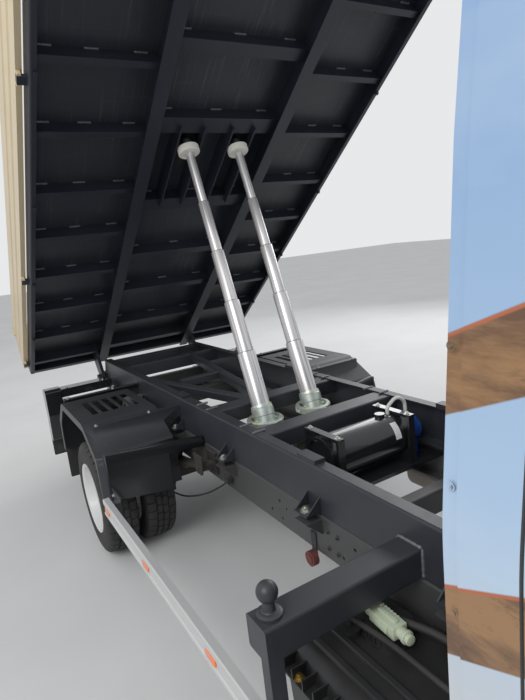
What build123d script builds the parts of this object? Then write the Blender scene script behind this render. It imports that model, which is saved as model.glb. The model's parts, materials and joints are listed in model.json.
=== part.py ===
from build123d import *
import math
import os

# Light tipper truck with its tipping bed raised to the rear. Millimetres, +X forward, +Y left,
# +Z up. Stations along X are written from the rear axle and moved by SHIFT on export, so that
# the origin lies on the floor under the middle of the whole vehicle.

# wheels and axles
TYRE_R = 345.0
TYRE_W = 190.0
RIM_R = 203.0
HUB_R = 70.0
HAND_HOLES = 8
AXLE_Z = TYRE_R
WHEELBASE = 3800.0
FRONT_Y = 820.0
TWIN_MID_Y = 770.0
TWIN_OFF = 115.0
KING_Y = 705.0
AXLE_END = 550.0
# clearances
FIT = 0.5
SEAT = 0.3
GAP = 6.0
# chassis rails with the tipping subframe on them; webs outside, flanges turned in
RAIL_Y = 433.0
RAIL_T = 6.0
FLANGE = 57.0
BEND = 10.0
SUB_TOP = 905.0
SUB_H = 200.0
CHASSIS_H = 176.0
SUB_X = (-1430.0, 2500.0)
CH_X = (-1430.0, 4420.0)
PIVOT_X, PIVOT_Z = -1500.0, 750.0
PIVOT_R = 25.0
RAM_MEMBER_W = 120.0
REAR_MEMBER_X, FRONT_MEMBER_X = 570.0, 1075.0
TIES = [-1100, -400, 257, 896, 1600, 2300]
TIE_OUT = 72.0
TIE_HALF = 42.0
TIE_UP = 64.0
TIE_BOLT_R = 8.0
# bed, written flat: s forward along the floor, d down from the floor sheet
SLOPE = 36.88
BED_X0, BED_Z0 = -1693.0, 980.0
BED_L = (-60.0, 4050.0)
BED_HALF = 1010.0
FLOOR_T = 5.0
SHEET = 5.0
BEAM_Y = (360.0, 437.0)
BEAM_D = 120.0
RIB_D = 79.0
RIB_W = 35.0
SIDE_D = 100.0
SIDE_LIP = 32.0
SIDE_RIBS = [78, 465, 855, 1262, 1660, 2035, 2447, 2848, 3250, 3650]
# station and flange width of the ribs between the main beams
MID_RIBS = [(130, 50), (487, 50), (960, 60), (1395, 60), (1905, 96), (2511, 100), (2965, 70),
            (3400, 70), (3800, 70)]
SEAT_PLATES_Y = (85.0, 230.0)
HOOKS = [520, 1230, 1960, 2790, 3500]
# drop sides, tailgate and headboard
BOARD_Y = (1022.0, 1050.0)
BOARD_UP = 400.0
BOARD_DOWN = 25.0
PRESS_D = 8.0
HINGE_Y, HINGE_D = 1040.0, 45.0
HINGE_PIN_R = 8.0
LUGS = [30, 1209, 2717, 3950]
POST_L = 50.0
HEAD_UP = 900.0
HEAD_T = 40.0
# rams: outer radius and bore radius of the stages, thin to thick
RAM_Y = 160.0
GIMBAL_X, GIMBAL_Z = 800.0, 815.0
RAM_LEAN = 19.6
BALL_AT = 1644.0
BALL_R = 30.0
STROKE = 294.0
COLLAR_TOP = 89.0
STAGES = [(16.0, 0.0), (23.0, 16.7), (31.0, 23.7), (38.0, 31.7), (45.0, 38.7)]
BARREL_R, BARREL_BORE = 54.0, 45.7
RING_R, RING_BORE, RING_H = 100.0, 74.0, 36.0
TRUNNION_R = 12.0
# ball arms, side guards, tanks
ARM_X = (2053.0, 2153.0)
ARM_Z = (711.0, 812.0)
ARM_END_Y = 990.0
BALL_Y = 945.0
GUARD_X = (545.0, 2640.0)
GUARD_Z = (475.0, 562.0)
GUARD_T = 32.0
TANK_X, TANK_Z, TANK_R = 1360.0, 780.0, 104.0
TANK_Y = (-222.0, 268.0)
FUEL_X, FUEL_Y, FUEL_Z = (1965.0, 2620.0), (460.0, 880.0), (250.0, 600.0)
# rear fenders
FENDER_Y = (546.0, 990.0)
FENDER_T = 6.0
FENDER_LIP = 45.0
# rear bar and its towing plate
BAR_Z = 470.0
TOW_Y, TOW_Z, TOW_R = 120.0, 55.0, 7.5
# cab
CAB_REAR = 2700.0
CAB_NOSE = 4700.0
NOSE_X = 4760.0
SKIN = 42.0
GLASS_IN, GLASS_T = 18.0, 5.0
ARCH_R = 440.0
LINER_T = 6.0
FLARE_W, FLARE_OUT = 48.0, 12.0
DOOR_AXIS = (3646.0, 968.5)

SUB_BOT = SUB_TOP - SUB_H
CH_BOT = SUB_BOT - CHASSIS_H
INNER = RAIL_Y - RAIL_T
SIN, COS = math.sin(math.radians(SLOPE)), math.cos(math.radians(SLOPE))
TAIL_T = 28.0
TAIL_S = BED_L[0] - GAP - TAIL_T
TAIL_UP = BOARD_UP + 12.0
SHIFT = -(NOSE_X + BED_X0 + TAIL_S * COS - TAIL_UP * SIN) / 2.0

parts = {}


def block(x0, x1, y0, y1, z0, z1):
    return Pos((x0 + x1) / 2, (y0 + y1) / 2, (z0 + z1) / 2) * Box(abs(x1 - x0), abs(y1 - y0),
                                                                 abs(z1 - z0))


def rod(p, q, r):
    p, q = Vector(*p), Vector(*q)
    return Plane(origin=p, z_dir=q - p) * Cylinder(r, (q - p).length,
                                                   align=(Align.CENTER, Align.CENTER, Align.MIN))


def cross_rod(x, y0, y1, z, r):
    return rod((x, y0, z), (x, y1, z), r)


def outline(corners):
    """Flat face; each corner is (u, v) or (u, v, radius)."""
    return make_face(FilletPolyline(*[(u, v) for u, v, *r in corners],
                                    radius=[r[0] if r else 0 for u, v, *r in corners],
                                    close=True))


def inset(corners, by):
    """The same outline moved inward by a distance, or outward where it is negative."""
    ahead = corners[1:] + corners[:1]
    side = math.copysign(1, sum(a[0] * b[1] - b[0] * a[1] for a, b in zip(corners, ahead)))
    moved = []
    for before, (u, v, *r), after in zip(corners[-1:] + corners[:-1], corners, ahead):
        e = Vector(u - before[0], v - before[1]).normalized()
        f = Vector(after[0] - u, after[1] - v).normalized()
        n, m = Vector(-e.Y, e.X) * side, Vector(-f.Y, f.X) * side
        step = (n + m) * (by / (1 + n.dot(m)))
        turn = math.copysign(1, (e.X * f.Y - e.Y * f.X) * side)
        moved.append((u + step.X, v + step.Y, max(r[0] - by * turn, 0) if r else 0))
    return moved


def prism_y(corners, y0, y1):
    return extrude(Pos(0, y0, 0) * (Plane.XZ * outline(corners)), amount=y1 - y0, dir=(0, 1, 0))


def prism_x(corners, x0, x1):
    return extrude(Pos(x0, 0, 0) * (Plane.YZ * outline(corners)), amount=x1 - x0, dir=(1, 0, 0))


def prism_z(corners, z0, z1):
    return extrude(Pos(0, 0, z0) * outline(corners), amount=z1 - z0, dir=(0, 0, 1))


def turned(profile, axis_y, x, z):
    """Revolve a profile of (radius, y) corners about the line along Y through (x, z)."""
    face = Pos(x, axis_y, z) * outline(profile)
    return revolve(face, axis=Axis((x, 0, z), (0, 1, 0)), revolution_arc=360)


def join(items):
    whole = items[0]
    for item in items[1:]:
        whole = whole + item
    return whole


def other_side(shape):
    return mirror(shape, about=Plane.XZ)


def both(shape):
    return [shape, other_side(shape)]


def bar(p, q, w, z0, z1, r=BEND):
    """Straight bar in plan from p to q, square cut, with its upper edges bent round."""
    run = Vector(q[0] - p[0], q[1] - p[1], 0)
    plane = Plane(origin=(p[0], p[1], 0), x_dir=(0, 0, 1), z_dir=run)
    face = plane * outline([(z0, -w / 2), (z1, -w / 2, r), (z1, w / 2, r), (z0, w / 2)])
    return extrude(face, amount=run.length, dir=run.normalized())


def hose(points, r):
    """Round hose along straight runs joined by tangent arcs."""
    spots = [Vector(*p) for p in points]
    runs = [b - a for a, b in zip(spots, spots[1:])]
    radii = [0.45 * min(a.length, b.length) / math.tan(math.radians(a.get_angle(b)) / 2)
             for a, b in zip(runs, runs[1:])]
    path = FilletPolyline(*spots, radius=radii)
    print("cord of radius", r, "and length", round(path.length))
    return sweep(Plane(origin=spots[0], z_dir=runs[0]) * Circle(r), path)


def bed(shape):
    return Pos(BED_X0, 0, BED_Z0) * Rot(0, -SLOPE, 0) * shape


def flat(s0, s1, y0, y1, d0, d1):
    return block(s0, s1, y0, y1, -d1, -d0)


def ram(shape):
    return Pos(GIMBAL_X, 0, GIMBAL_Z) * Rot(0, -RAM_LEAN, 0) * shape


def upright(z0, z1, r, y, bore=0.0):
    solid = rod((0, y, z0), (0, y, z1), r)
    return solid - rod((0, y, z0 - 1), (0, y, z1 + 1), bore) if bore else solid


# chassis rails and subframe rails, bent from plate
def channel(x0, x1, z0, z1):
    back, edge = RAIL_Y - RAIL_T, RAIL_Y - FLANGE
    return prism_x([(RAIL_Y, z0, BEND), (RAIL_Y, z1, BEND), (edge, z1), (edge, z1 - RAIL_T),
                    (back, z1 - RAIL_T, BEND - RAIL_T), (back, z0 + RAIL_T, BEND - RAIL_T),
                    (edge, z0 + RAIL_T), (edge, z0)], x0, x1)


def cross_channel(x, width, z0, z1):
    web = x + width - RAIL_T
    return prism_y([(x, z0), (x + width, z0, BEND), (x + width, z1, BEND), (x, z1),
                    (x, z1 - RAIL_T), (web, z1 - RAIL_T, BEND - RAIL_T),
                    (web, z0 + RAIL_T, BEND - RAIL_T), (x, z0 + RAIL_T)], -INNER, INNER)


def tie_bracket(x, up):
    """Shelf with two gussets on the web, above the joint of the rails (up 1) or below it (-1)."""
    z = SUB_BOT + up * 15
    edges = sorted((z, z + up * RAIL_T))
    shelf = block(x - TIE_HALF, x + TIE_HALF, RAIL_Y, RAIL_Y + TIE_OUT, *edges)
    rib = [(RAIL_Y, z), (RAIL_Y + TIE_OUT, z), (RAIL_Y, z + up * TIE_UP)]
    ribs = [prism_x(rib, e, e + RAIL_T) for e in (x - TIE_HALF, x + TIE_HALF - RAIL_T)]
    return join([shelf] + ribs)


def tie_bolt(x, r, reach):
    return rod((x, RAIL_Y + 0.6 * TIE_OUT, SUB_BOT - reach), (x, RAIL_Y + 0.6 * TIE_OUT,
                                                            SUB_BOT + reach), r)


def bolt_head(x, side):
    """Six-sided head beyond the shelf above the joint (side 1) or below it (-1)."""
    face = Pos(x, RAIL_Y + 0.6 * TIE_OUT, SUB_BOT + side * (21 + SEAT))
    return extrude(face * RegularPolygon(1.8 * TIE_BOLT_R, 6), amount=12, dir=(0, 0, side))


# hole groups of the chassis rails: offset along X, height over the rail's foot, radius
HOLE_STATIONS = [860, 1330, 1830]
HOLE_GROUP = [(0, 118, 9), (52, 100, 6), (-70, 52, 8), (14, 40, 6)]
rail = channel(*CH_X, CH_BOT, SUB_BOT)
rail = rail - [cross_rod(x + dx, INNER - 2, RAIL_Y + 2, CH_BOT + up, r)
               for x in HOLE_STATIONS for dx, up, r in HOLE_GROUP]
rail = join([rail] + [tie_bracket(x, -1) for x in TIES])
rail = rail - [tie_bolt(x, TIE_BOLT_R + FIT, 40) for x in TIES]
CROSS_X = [-1400, -700, 1700, 2600, 4330]
parts["chassis_rails"] = join(both(rail) + [cross_channel(x, 60, CH_BOT + 40, SUB_BOT - 30)
                                            for x in CROSS_X])

# tipping subframe: rails, rear lugs with the pivot shaft, members, A-shaped bracing
lug = prism_y([(SUB_X[0], SUB_BOT), (SUB_X[0], 880), (SUB_X[0] - 40, 800),
               (PIVOT_X - 40, PIVOT_Z + 40, 30), (PIVOT_X - 40, PIVOT_Z - 40, 30),
               (PIVOT_X, SUB_BOT)], RAIL_Y - 26, RAIL_Y)
upper = join([channel(*SUB_X, SUB_BOT, SUB_TOP), lug] + [tie_bracket(x, 1) for x in TIES] +
             [tie_bolt(x, TIE_BOLT_R, 34) for x in TIES] +
             [bolt_head(x, side) for x in TIES for side in (-1, 1)])


def ram_member(x):
    form = [(x, SUB_TOP - 92, BEND), (x + RAM_MEMBER_W, SUB_TOP - 92, BEND),
            (x + RAM_MEMBER_W, SUB_TOP - 6, BEND), (x, SUB_TOP - 6, BEND)]
    return prism_y(form, -INNER, INNER) - prism_y(inset(form, RAIL_T), -INNER, INNER)


BRACES = [((REAR_MEMBER_X + 2, -112), (-640, -424)), ((REAR_MEMBER_X + 2, -40), (-1322, 250)),
          ((-190, -240), (-190, 50))]
members = [ram_member(x) for x in (REAR_MEMBER_X, FRONT_MEMBER_X)]
members += [cross_channel(x, 60, SUB_TOP - 110, SUB_TOP - 8) for x in (-1380, -1020, 2420)]
members += [bar(p, q, 60, SUB_TOP - 62, SUB_TOP - 12) & block(-1400, 600, -INNER, INNER, 800, 900)
            for p, q in BRACES]
members += [block(x, x + 120, y - 25, y + 25, SUB_TOP - 1, SUB_TOP + 18)
            for x in (200, 1500, 2300) for y in (-RAIL_Y + 30, RAIL_Y - 30)]
members.append(cross_rod(PIVOT_X, -500, 500, PIVOT_Z, PIVOT_R))
parts["subframe"] = join(both(upper) + members)

# gimbal rings with their pins to the two ram members
rings = []
for y in (-RAM_Y, RAM_Y):
    ring = Pos(GIMBAL_X, y, GIMBAL_Z) * (Cylinder(RING_R, RING_H) - Cylinder(RING_BORE, RING_H))
    ring = chamfer(ring.edges().filter_by(GeomType.CIRCLE).sort_by(Axis.Z)[-2:], 5)
    ring = ring - cross_rod(GIMBAL_X, y - RING_R, y + RING_R, GIMBAL_Z, TRUNNION_R + FIT)
    for a, b in ((REAR_MEMBER_X + RAM_MEMBER_W, GIMBAL_X - RING_R + 5),
                 (GIMBAL_X + RING_R - 5, FRONT_MEMBER_X)):
        ring = ring + rod((a, y, GIMBAL_Z + 5), (b, y, GIMBAL_Z + 5), TRUNNION_R)
    rings.append(ring)
parts["gimbal_rings"] = join(rings)

# ram barrels with collars and trunnions, then five stages; the first carries the ball
barrels = []
for y in (-RAM_Y, RAM_Y):
    tube = upright(-300, COLLAR_TOP, BARREL_R, y) + upright(30, COLLAR_TOP - 14, BARREL_R + 7, y)
    tube = tube - upright(-290, COLLAR_TOP + 1, BARREL_BORE, y)
    for side in (-1, 1):
        tube = tube + rod((0, y + side * (BARREL_R - 4), 0), (0, y + side * (RING_R - 8), 0),
                          TRUNNION_R)
    barrels.append(tube)
parts["ram_barrels"] = ram(join(barrels))
OVERLAP = 340.0
for k, (radius, bore) in enumerate(STAGES):
    top = COLLAR_TOP + 3 + (len(STAGES) - k) * STROKE
    tubes = []
    for y in (-RAM_Y, RAM_Y):
        if k == 0:
            cap = Pos(0, y, BALL_AT - 57) * Cylinder(50, 38)
            cap = chamfer(cap.edges().filter_by(GeomType.CIRCLE), 5)
            tubes.append(upright(top - OVERLAP, BALL_AT - 20, radius, y) + cap +
                         Pos(0, y, BALL_AT) * Sphere(BALL_R))
        else:
            tubes.append(upright(top - OVERLAP, top, radius, y, bore))
    parts["ram_stage_%d" % (k + 1)] = ram(join(tubes))

# bed floor and headboard; the board's upper half is a grille
parts["bed_floor"] = bed(flat(*BED_L, -BED_HALF, BED_HALF, -FLOOR_T, 0))
HEAD_S = BED_L[1] - HEAD_T
SHEET_UP = BOARD_UP + 60
head = flat(HEAD_S, BED_L[1], -BED_HALF, BED_HALF, -HEAD_UP, -FLOOR_T)
head = head - flat(HEAD_S - 1, BED_L[1] + 1, -BED_HALF + HEAD_T, BED_HALF - HEAD_T,
                   -HEAD_UP + HEAD_T, -SHEET_UP)
head = head - flat(HEAD_S + SHEET, BED_L[1] + 1, -BED_HALF + HEAD_T, BED_HALF - HEAD_T,
                   -SHEET_UP + HEAD_T, -FLOOR_T - HEAD_T)
slats = [flat(HEAD_S, BED_L[1], y - 10, y + 10, -HEAD_UP + HEAD_T - 1, -SHEET_UP - SHEET + 1)
         for y in range(-840, 841, 140)]
ribs = [flat(HEAD_S, BED_L[1] - 4, y - 20, y + 20, -SHEET_UP, -FLOOR_T - 1)
        for y in (-620, -210, 210, 620)]
parts["headboard"] = bed(join([head] + slats + ribs))

# bed frame: beams, ribs, side members and end members folded from sheet
BEAM_MID = sum(BEAM_Y) / 2
beam = flat(BED_L[0] + SHEET, HEAD_S, BEAM_MID - 3.5, BEAM_MID + 3.5, 0, BEAM_D)
beam = beam + flat(BED_L[0] + SHEET, HEAD_S, *BEAM_Y, BEAM_D - 7, BEAM_D)
frame = both(beam)
SIDE_IN = BED_HALF - SHEET
for s in SIDE_RIBS:
    rib = flat(s + 5, s + 9, BEAM_MID, SIDE_IN, 0, RIB_D)
    rib = rib + flat(s - RIB_W / 2, s + RIB_W / 2, BEAM_MID, BED_HALF - SIDE_LIP + 4,
                     RIB_D - SHEET, RIB_D)
    frame += both(rib)
for s in SIDE_RIBS[1:]:
    frame += both(flat(s - 26, s + 8, 700, 704, 10, RIB_D - SHEET))
for s, w in MID_RIBS:
    frame.append(flat(s - w / 2, s + w / 2, -BEAM_MID, BEAM_MID, RIB_D - SHEET, RIB_D))
    frame.append(flat(s + w / 2 - 10, s + w / 2 - 5, -BEAM_MID, BEAM_MID, 0, RIB_D))
    if w > 80:
        frame.append(flat(s - w / 2 + 5, s - w / 2 + 10, -BEAM_MID, BEAM_MID, 0, RIB_D))
for y in SEAT_PLATES_Y:
    frame += both(flat(MID_RIBS[4][0], MID_RIBS[5][0], y, y + 8, 0, 105))


def folded(u0, u1, lip, wall=SHEET):
    """Angle profile: a wall at u1 with its foot turned back by lip; u outward, v up."""
    return [(u1, 0), (u1, -SIDE_D, BEND), (u1 - lip, -SIDE_D), (u1 - lip, -SIDE_D + wall),
            (u1 - wall, -SIDE_D + wall, BEND - wall), (u1 - wall, 0)]


frame += both(prism_x(folded(0, BED_HALF, SIDE_LIP), *BED_L))
frame.append(prism_y(folded(0, BED_L[1], 45), -SIDE_IN, SIDE_IN))
frame.append(other_side(prism_y([(BED_L[0] + BED_L[0] - u, v, *r) for u, v, *r in
                                 folded(0, BED_L[0], 45)], -SIDE_IN, SIDE_IN)))
for s in HOOKS:
    frame += both(flat(s - 9, s + 9, 978, 994, SIDE_D - 1, SIDE_D + 18))
# ears round the pivot shaft, and the seats of the ram balls
pivot_s = (PIVOT_X - BED_X0) * COS + (PIVOT_Z - BED_Z0) * SIN
pivot_d = (PIVOT_X - BED_X0) * SIN - (PIVOT_Z - BED_Z0) * COS
EAR_Y = (445.0, 470.0)
ear = prism_y([(pivot_s - 60, 0), (pivot_s + 90, 0), (pivot_s + 48, -pivot_d - 42, 30),
               (pivot_s - 48, -pivot_d - 42, 30)], *EAR_Y)
frame += both(ear + flat(pivot_s - 55, pivot_s + 85, BEAM_Y[1] - 10, EAR_Y[0] + 1, 20, 80))
ball_x = GIMBAL_X - BALL_AT * math.sin(math.radians(RAM_LEAN))
ball_z = GIMBAL_Z + BALL_AT * math.cos(math.radians(RAM_LEAN))
ball_s = (ball_x - BED_X0) * COS + (ball_z - BED_Z0) * SIN
ball_d = (ball_x - BED_X0) * SIN - (ball_z - BED_Z0) * COS
frame += both(flat(ball_s - 60, ball_s + 60, SEAT_PLATES_Y[0] + 7, SEAT_PLATES_Y[1] + 1, 0,
                   ball_d - BALL_R - SEAT))
# cups that come down on the balls of the arms when the bed is lowered
CUP_S = 3621.0
frame += both(flat(CUP_S - 40, CUP_S + 40, 900, 981, 95, 110) +
              flat(CUP_S - 40, CUP_S + 40, 950, 981, 60, 110))
bore = Pos(pivot_s, 0, -pivot_d) * Rot(90, 0, 0) * Cylinder(PIVOT_R + FIT, 1200)
lugs = []
for s in LUGS:
    lug = flat(s - 20, s + 20, BED_HALF, HINGE_Y + 11, HINGE_D - 12, HINGE_D + 12)
    lugs += both(lug - Pos(s, HINGE_Y, -HINGE_D) * Rot(0, 90, 0) * Cylinder(HINGE_PIN_R + 0.4, 60))
parts["bed_frame"] = bed(join(frame + lugs) - bore)

# corner posts; the rear pair holds the tailgate's ears
GATE_S, GATE_D = BED_L[0] - 20, 10 - BOARD_UP
posts = [flat(a, a + POST_L, BED_HALF + SEAT, BOARD_Y[1], -BOARD_UP, 30)
         for a in (BED_L[0], BED_L[1] - POST_L)]
ear = flat(GATE_S - 12, BED_L[0] + 2, 1014, 1034, GATE_D - 10, GATE_D + 16)
ear = ear - Pos(GATE_S, 1024, -GATE_D) * Rot(90, 0, 0) * Cylinder(HINGE_PIN_R + 0.4, 40)
catch = [flat(a + 15, a + 35, BOARD_Y[1] - 1, BOARD_Y[1] + 8, -BOARD_UP + 30, -BOARD_UP + 110)
         for a in (BED_L[0], BED_L[1] - POST_L)]
parts["bed_posts"] = bed(join(both(posts[0] + ear + catch[0]) + both(posts[1] + catch[1])))


def pressed(low, high, face, depth, back):
    """Section of a pressed board: three raised bands on its face, flat behind."""
    span = (high - low) / 3
    points = []
    for k in range(3):
        a, b = low + k * span, low + (k + 1) * span
        points += [(face, a + 12), (face, b - 34), (face - depth, b - 26), (face - depth, b + 4)]
    points[0], points[-1] = (face, low), (face, high)
    points[-2] = (face, high - 30)
    return points + [(back, high), (back, low)]


# drop sides, hinged along their lower edge
section = pressed(-BOARD_DOWN, BOARD_UP, BOARD_Y[1], PRESS_D, BOARD_Y[0])
board = [prism_x(section, BED_L[0] + POST_L + GAP, BED_L[1] - POST_L - GAP)]
for s in LUGS:
    board.append(Pos(s, HINGE_Y, -HINGE_D) * Rot(0, 90, 0) * Cylinder(HINGE_PIN_R, 66))
    board += [flat(s + e - 5.5, s + e + 5.5, HINGE_Y - 8, BOARD_Y[1], BOARD_DOWN - 5, HINGE_D + 8)
              for e in (-27, 27)]
side = bed(join(board))
parts["drop_side_left"] = side
parts["drop_side_right"] = other_side(side)

# tailgate, hung from its upper edge
section = [(-u, v) for u, v in pressed(-60, TAIL_UP, -TAIL_S, PRESS_D, -TAIL_S - TAIL_T)]
gate = [prism_y(section, -BED_HALF, BED_HALF)]
gate += [Pos(GATE_S, y, -GATE_D) * Rot(90, 0, 0) * Cylinder(HINGE_PIN_R, 42)
         for y in (-1019, 1019)]
parts["tailgate"] = bed(join(gate))

# ball arms beside the frame, with the posts that carry the side guards
ARM_MID = sum(ARM_X) / 2
arm = prism_y([(x, z, BEND) for x, z in ((ARM_X[0], ARM_Z[0]), (ARM_X[1], ARM_Z[0]),
                                        (ARM_X[1], ARM_Z[1]), (ARM_X[0], ARM_Z[1]))],
              RAIL_Y, ARM_END_Y)
arm = arm + block(ARM_X[1] - 40, ARM_X[1], ARM_END_Y - 45, ARM_END_Y, GUARD_Z[0] - 20, ARM_Z[0] + 9)
BALL_Z = ARM_Z[1] + 68
neck = [(0, ARM_Z[1] - 1), (36, ARM_Z[1] - 1), (36, ARM_Z[1] + 9), (28, ARM_Z[1] + 13),
        (19, ARM_Z[1] + 15, 6), (15, BALL_Z - 18, 6), (15, BALL_Z), (0, BALL_Z)]
neck = revolve(Plane.XZ * outline(neck), axis=Axis.Z)
arm = arm + Pos(ARM_MID, BALL_Y, 0) * neck + Pos(ARM_MID, BALL_Y, BALL_Z) * Sphere(BALL_R)
parts["ball_arms"] = join(both(arm))

# side guards: aluminium section with two lips
G0, G1 = ARM_END_Y + SEAT, ARM_END_Y + GUARD_T
guard = [(G0, GUARD_Z[0]), (G1, GUARD_Z[0], 4), (G1, GUARD_Z[0] + 16), (G1 - 5, GUARD_Z[0] + 20),
         (G1 - 5, GUARD_Z[1] - 30), (G1, GUARD_Z[1] - 26), (G1, GUARD_Z[1], 5), (G0, GUARD_Z[1]),
         (G0, GUARD_Z[1] - 4), (G1 - 9, GUARD_Z[1] - 4), (G1 - 9, GUARD_Z[0] + 4),
         (G0, GUARD_Z[0] + 4)]
parts["side_guards"] = join(both(prism_x(guard, *GUARD_X)))

# oil tank across the frame with seamed ends, clamps, saddles and bearer
CLAMP_Y = (-188.0, 232.0)
CLAMP = [(TANK_X - 122, TANK_Z - 122), (TANK_X + 124, TANK_Z - 122), (TANK_X + 124, TANK_Z + 120),
         (TANK_X - 122, TANK_Z + 120)]
BEARER_Z = TANK_Z - 122
tank = [(0, TANK_Y[0] + 14), (TANK_R - 22, TANK_Y[0] + 14), (TANK_R - 12, TANK_Y[0]),
        (TANK_R, TANK_Y[0]), (TANK_R, TANK_Y[1]), (TANK_R - 12, TANK_Y[1]),
        (TANK_R - 22, TANK_Y[1] - 14), (0, TANK_Y[1] - 14)]
pieces = [turned(tank, 0, TANK_X, TANK_Z),
          block(TANK_X - 130, TANK_X + 130, -INNER, INNER, BEARER_Z - 18, BEARER_Z),
          rod((TANK_X, 150, TANK_Z + TANK_R - 12), (TANK_X, 150, TANK_Z + TANK_R + 16), 24)]
for y in CLAMP_Y:
    pieces.append(prism_y(CLAMP, y - 18, y + 18) - prism_y(inset(CLAMP, 14), y - 19, y + 19))
    pieces.append(block(TANK_X - 110, TANK_X + 110, y - 18, y + 18, BEARER_Z, TANK_Z - 60))
    pieces.append(block(TANK_X - 6, TANK_X + 6, y - 18, y + 18, TANK_Z + TANK_R - 6, CLAMP[2][1] - 5))
parts["oil_tank"] = join(pieces)
# electric power pack on the tank's left end
PACK_R, PACK_Y1 = 64.0, 372.0
pack = [(0, TANK_Y[1] - 14 + SEAT), (PACK_R - 6, TANK_Y[1] - 14 + SEAT), (PACK_R, TANK_Y[1] + 6),
        (PACK_R, PACK_Y1 - 14), (PACK_R - 14, PACK_Y1), (0, PACK_Y1)]
parts["power_pack"] = turned(pack, 0, TANK_X, TANK_Z) + block(TANK_X - 40, TANK_X + 40, 290, 350,
                                                             BEARER_Z + SEAT, TANK_Z - 40)

# fuel tank: moulded, ribbed along its top, with the sender's ring and a ribbed outer ledge
form = [(FUEL_Y[0], FUEL_Z[0], 40), (FUEL_Y[1] - 60, FUEL_Z[0], 60), (FUEL_Y[1] - 40, FUEL_Z[1], 55),
        (FUEL_Y[0], FUEL_Z[1], 25)]
fuel = [prism_x(form, *FUEL_X)]
fuel += [prism_x([(y, FUEL_Z[1] - 8), (y + 34, FUEL_Z[1] - 8), (y + 26, FUEL_Z[1] + 9, 5),
                  (y + 8, FUEL_Z[1] + 9, 5)], FUEL_X[0] + 20, FUEL_X[1] - 30) for y in (688, 752)]
fuel.append(block(FUEL_X[0], FUEL_X[1], FUEL_Y[1] - 52, FUEL_Y[1], FUEL_Z[1] - 60, FUEL_Z[1] - 54))
fuel += [block(x, x + 5, FUEL_Y[1] - 52, FUEL_Y[1], FUEL_Z[1] - 60, FUEL_Z[1] - 20)
         for x in range(1965, 2620, 50)]
SENDER = (2150.0, 580.0)
for r, h in ((82, 8), (74, 32), (56, 38)):
    fuel.append(rod((*SENDER, FUEL_Z[1] - 1), (*SENDER, FUEL_Z[1] + h), r))
fuel.append(rod((2075, 668, FUEL_Z[1] - 1), (2075, 668, FUEL_Z[1] + 22), 36))
fuel += [block(x, x + 40, RAIL_Y + SEAT, FUEL_Y[0] + 1, 540, FUEL_Z[1] - 26) for x in (2190, 2520)]
parts["fuel_tank"] = other_side(join(fuel))

# the pack's supply loop, the brake cable to the right drum, and the tank's two pipes
cable_y = -RAIL_Y - 22
parts["oil_hose"] = hose([(TANK_X, 200, TANK_Z + TANK_R + SEAT), (TANK_X, 200, 918),
                          (TANK_X, 262, 958), (TANK_X, 318, 924),
                          (TANK_X, 318, TANK_Z + PACK_R + SEAT)], 9)
parts["brake_cable"] = hose([(870, cable_y, 585), (770, cable_y, 520), (610, cable_y - 4, 425),
                             (430, -470, 340), (270, -492, 284), (112, -508, 262),
                             (112, SEAT + 12 - AXLE_END, 262)], 5) + block(850, 890, cable_y - 14,
                                                          -RAIL_Y - SEAT, 578, 600)
pipes = [hose([(2150, -600, FUEL_Z[1] + 38 + SEAT), (2150, -600, FUEL_Z[1] + 66),
               (2300, -530, FUEL_Z[1] + 62), (2600, -502, FUEL_Z[1] + 16)], 12),
         hose([(2075, -668, FUEL_Z[1] + 22 + SEAT), (2075, -668, FUEL_Z[1] + 50),
               (2240, -650, FUEL_Z[1] + 50), (2600, -620, FUEL_Z[1] + 13)], 9)]
parts["tank_pipes"] = Compound(children=pipes)

# bush that guides the cable under the right rail, on its strap
bush_y = -RAIL_Y - SEAT
parts["cable_guide"] = join([block(1560, 1592, bush_y - 5, bush_y, 490, 610),
                             cross_rod(1576, bush_y - 36, bush_y, 500, 20),
                             cross_rod(1576, bush_y - 32, bush_y - 6, 500, 31)])

# exhaust along the left rail
EX_Y, EX_Z = 560.0, 440.0
EX_IN = 505.0
pipe = hose([(700, EX_Y, EX_Z), (2560, EX_Y, EX_Z), (2700, EX_IN, EX_Z), (3300, EX_IN, EX_Z)], 30)
parts["exhaust"] = join([pipe,
                         rod((1180, EX_Y, EX_Z), (1920, EX_Y, EX_Z), 75),
                         rod((1200, EX_Y, EX_Z), (1900, EX_Y, EX_Z), 95),
                         block(1500, 1540, RAIL_Y + SEAT, EX_Y, 560, 600),
                         block(1500, 1540, EX_Y - 20, EX_Y + 20, 500, 600)])

# rear axle: tube with a banjo housing, spring pads, brake plates
axle = [(0, -AXLE_END + SEAT), (48, -AXLE_END + SEAT), (48, -190), (66, -150), (125, -75),
        (140, -40), (140, 40), (125, 75), (66, 150), (48, 190), (48, AXLE_END - SEAT),
        (0, AXLE_END - SEAT)]
DRUM_R = 148.0
axle = join([turned(axle, 0, 0, AXLE_Z),
             rod((90, 0, AXLE_Z + 5), (240, 0, AXLE_Z + 20), 48)] +
            both(cross_rod(0, AXLE_END - 12, AXLE_END - SEAT, AXLE_Z, DRUM_R)))
parts["rear_axle"] = axle

# rear springs: three leaves, front hangers with bushes, rear shackles, dampers
LEAF_Y = (455.0, 525.0)
LEAF_MID = sum(LEAF_Y) / 2
EYE_X, EYE_Z, LEAF_Z, LEAF_T = 680.0, 590.0, 402.0, 14.0


def leaf(low, half):
    z0 = LEAF_Z + low
    arc = [(-EYE_X, z0 + EYE_Z - LEAF_Z), (0, z0, 2200), (EYE_X, z0 + EYE_Z - LEAF_Z)]
    thick = [(x, z + LEAF_T, *r) for x, z, *r in reversed(arc)]
    return prism_y(arc + thick, *LEAF_Y) & block(-half, half, *LEAF_Y, 0, 2 * EYE_Z)


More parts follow.
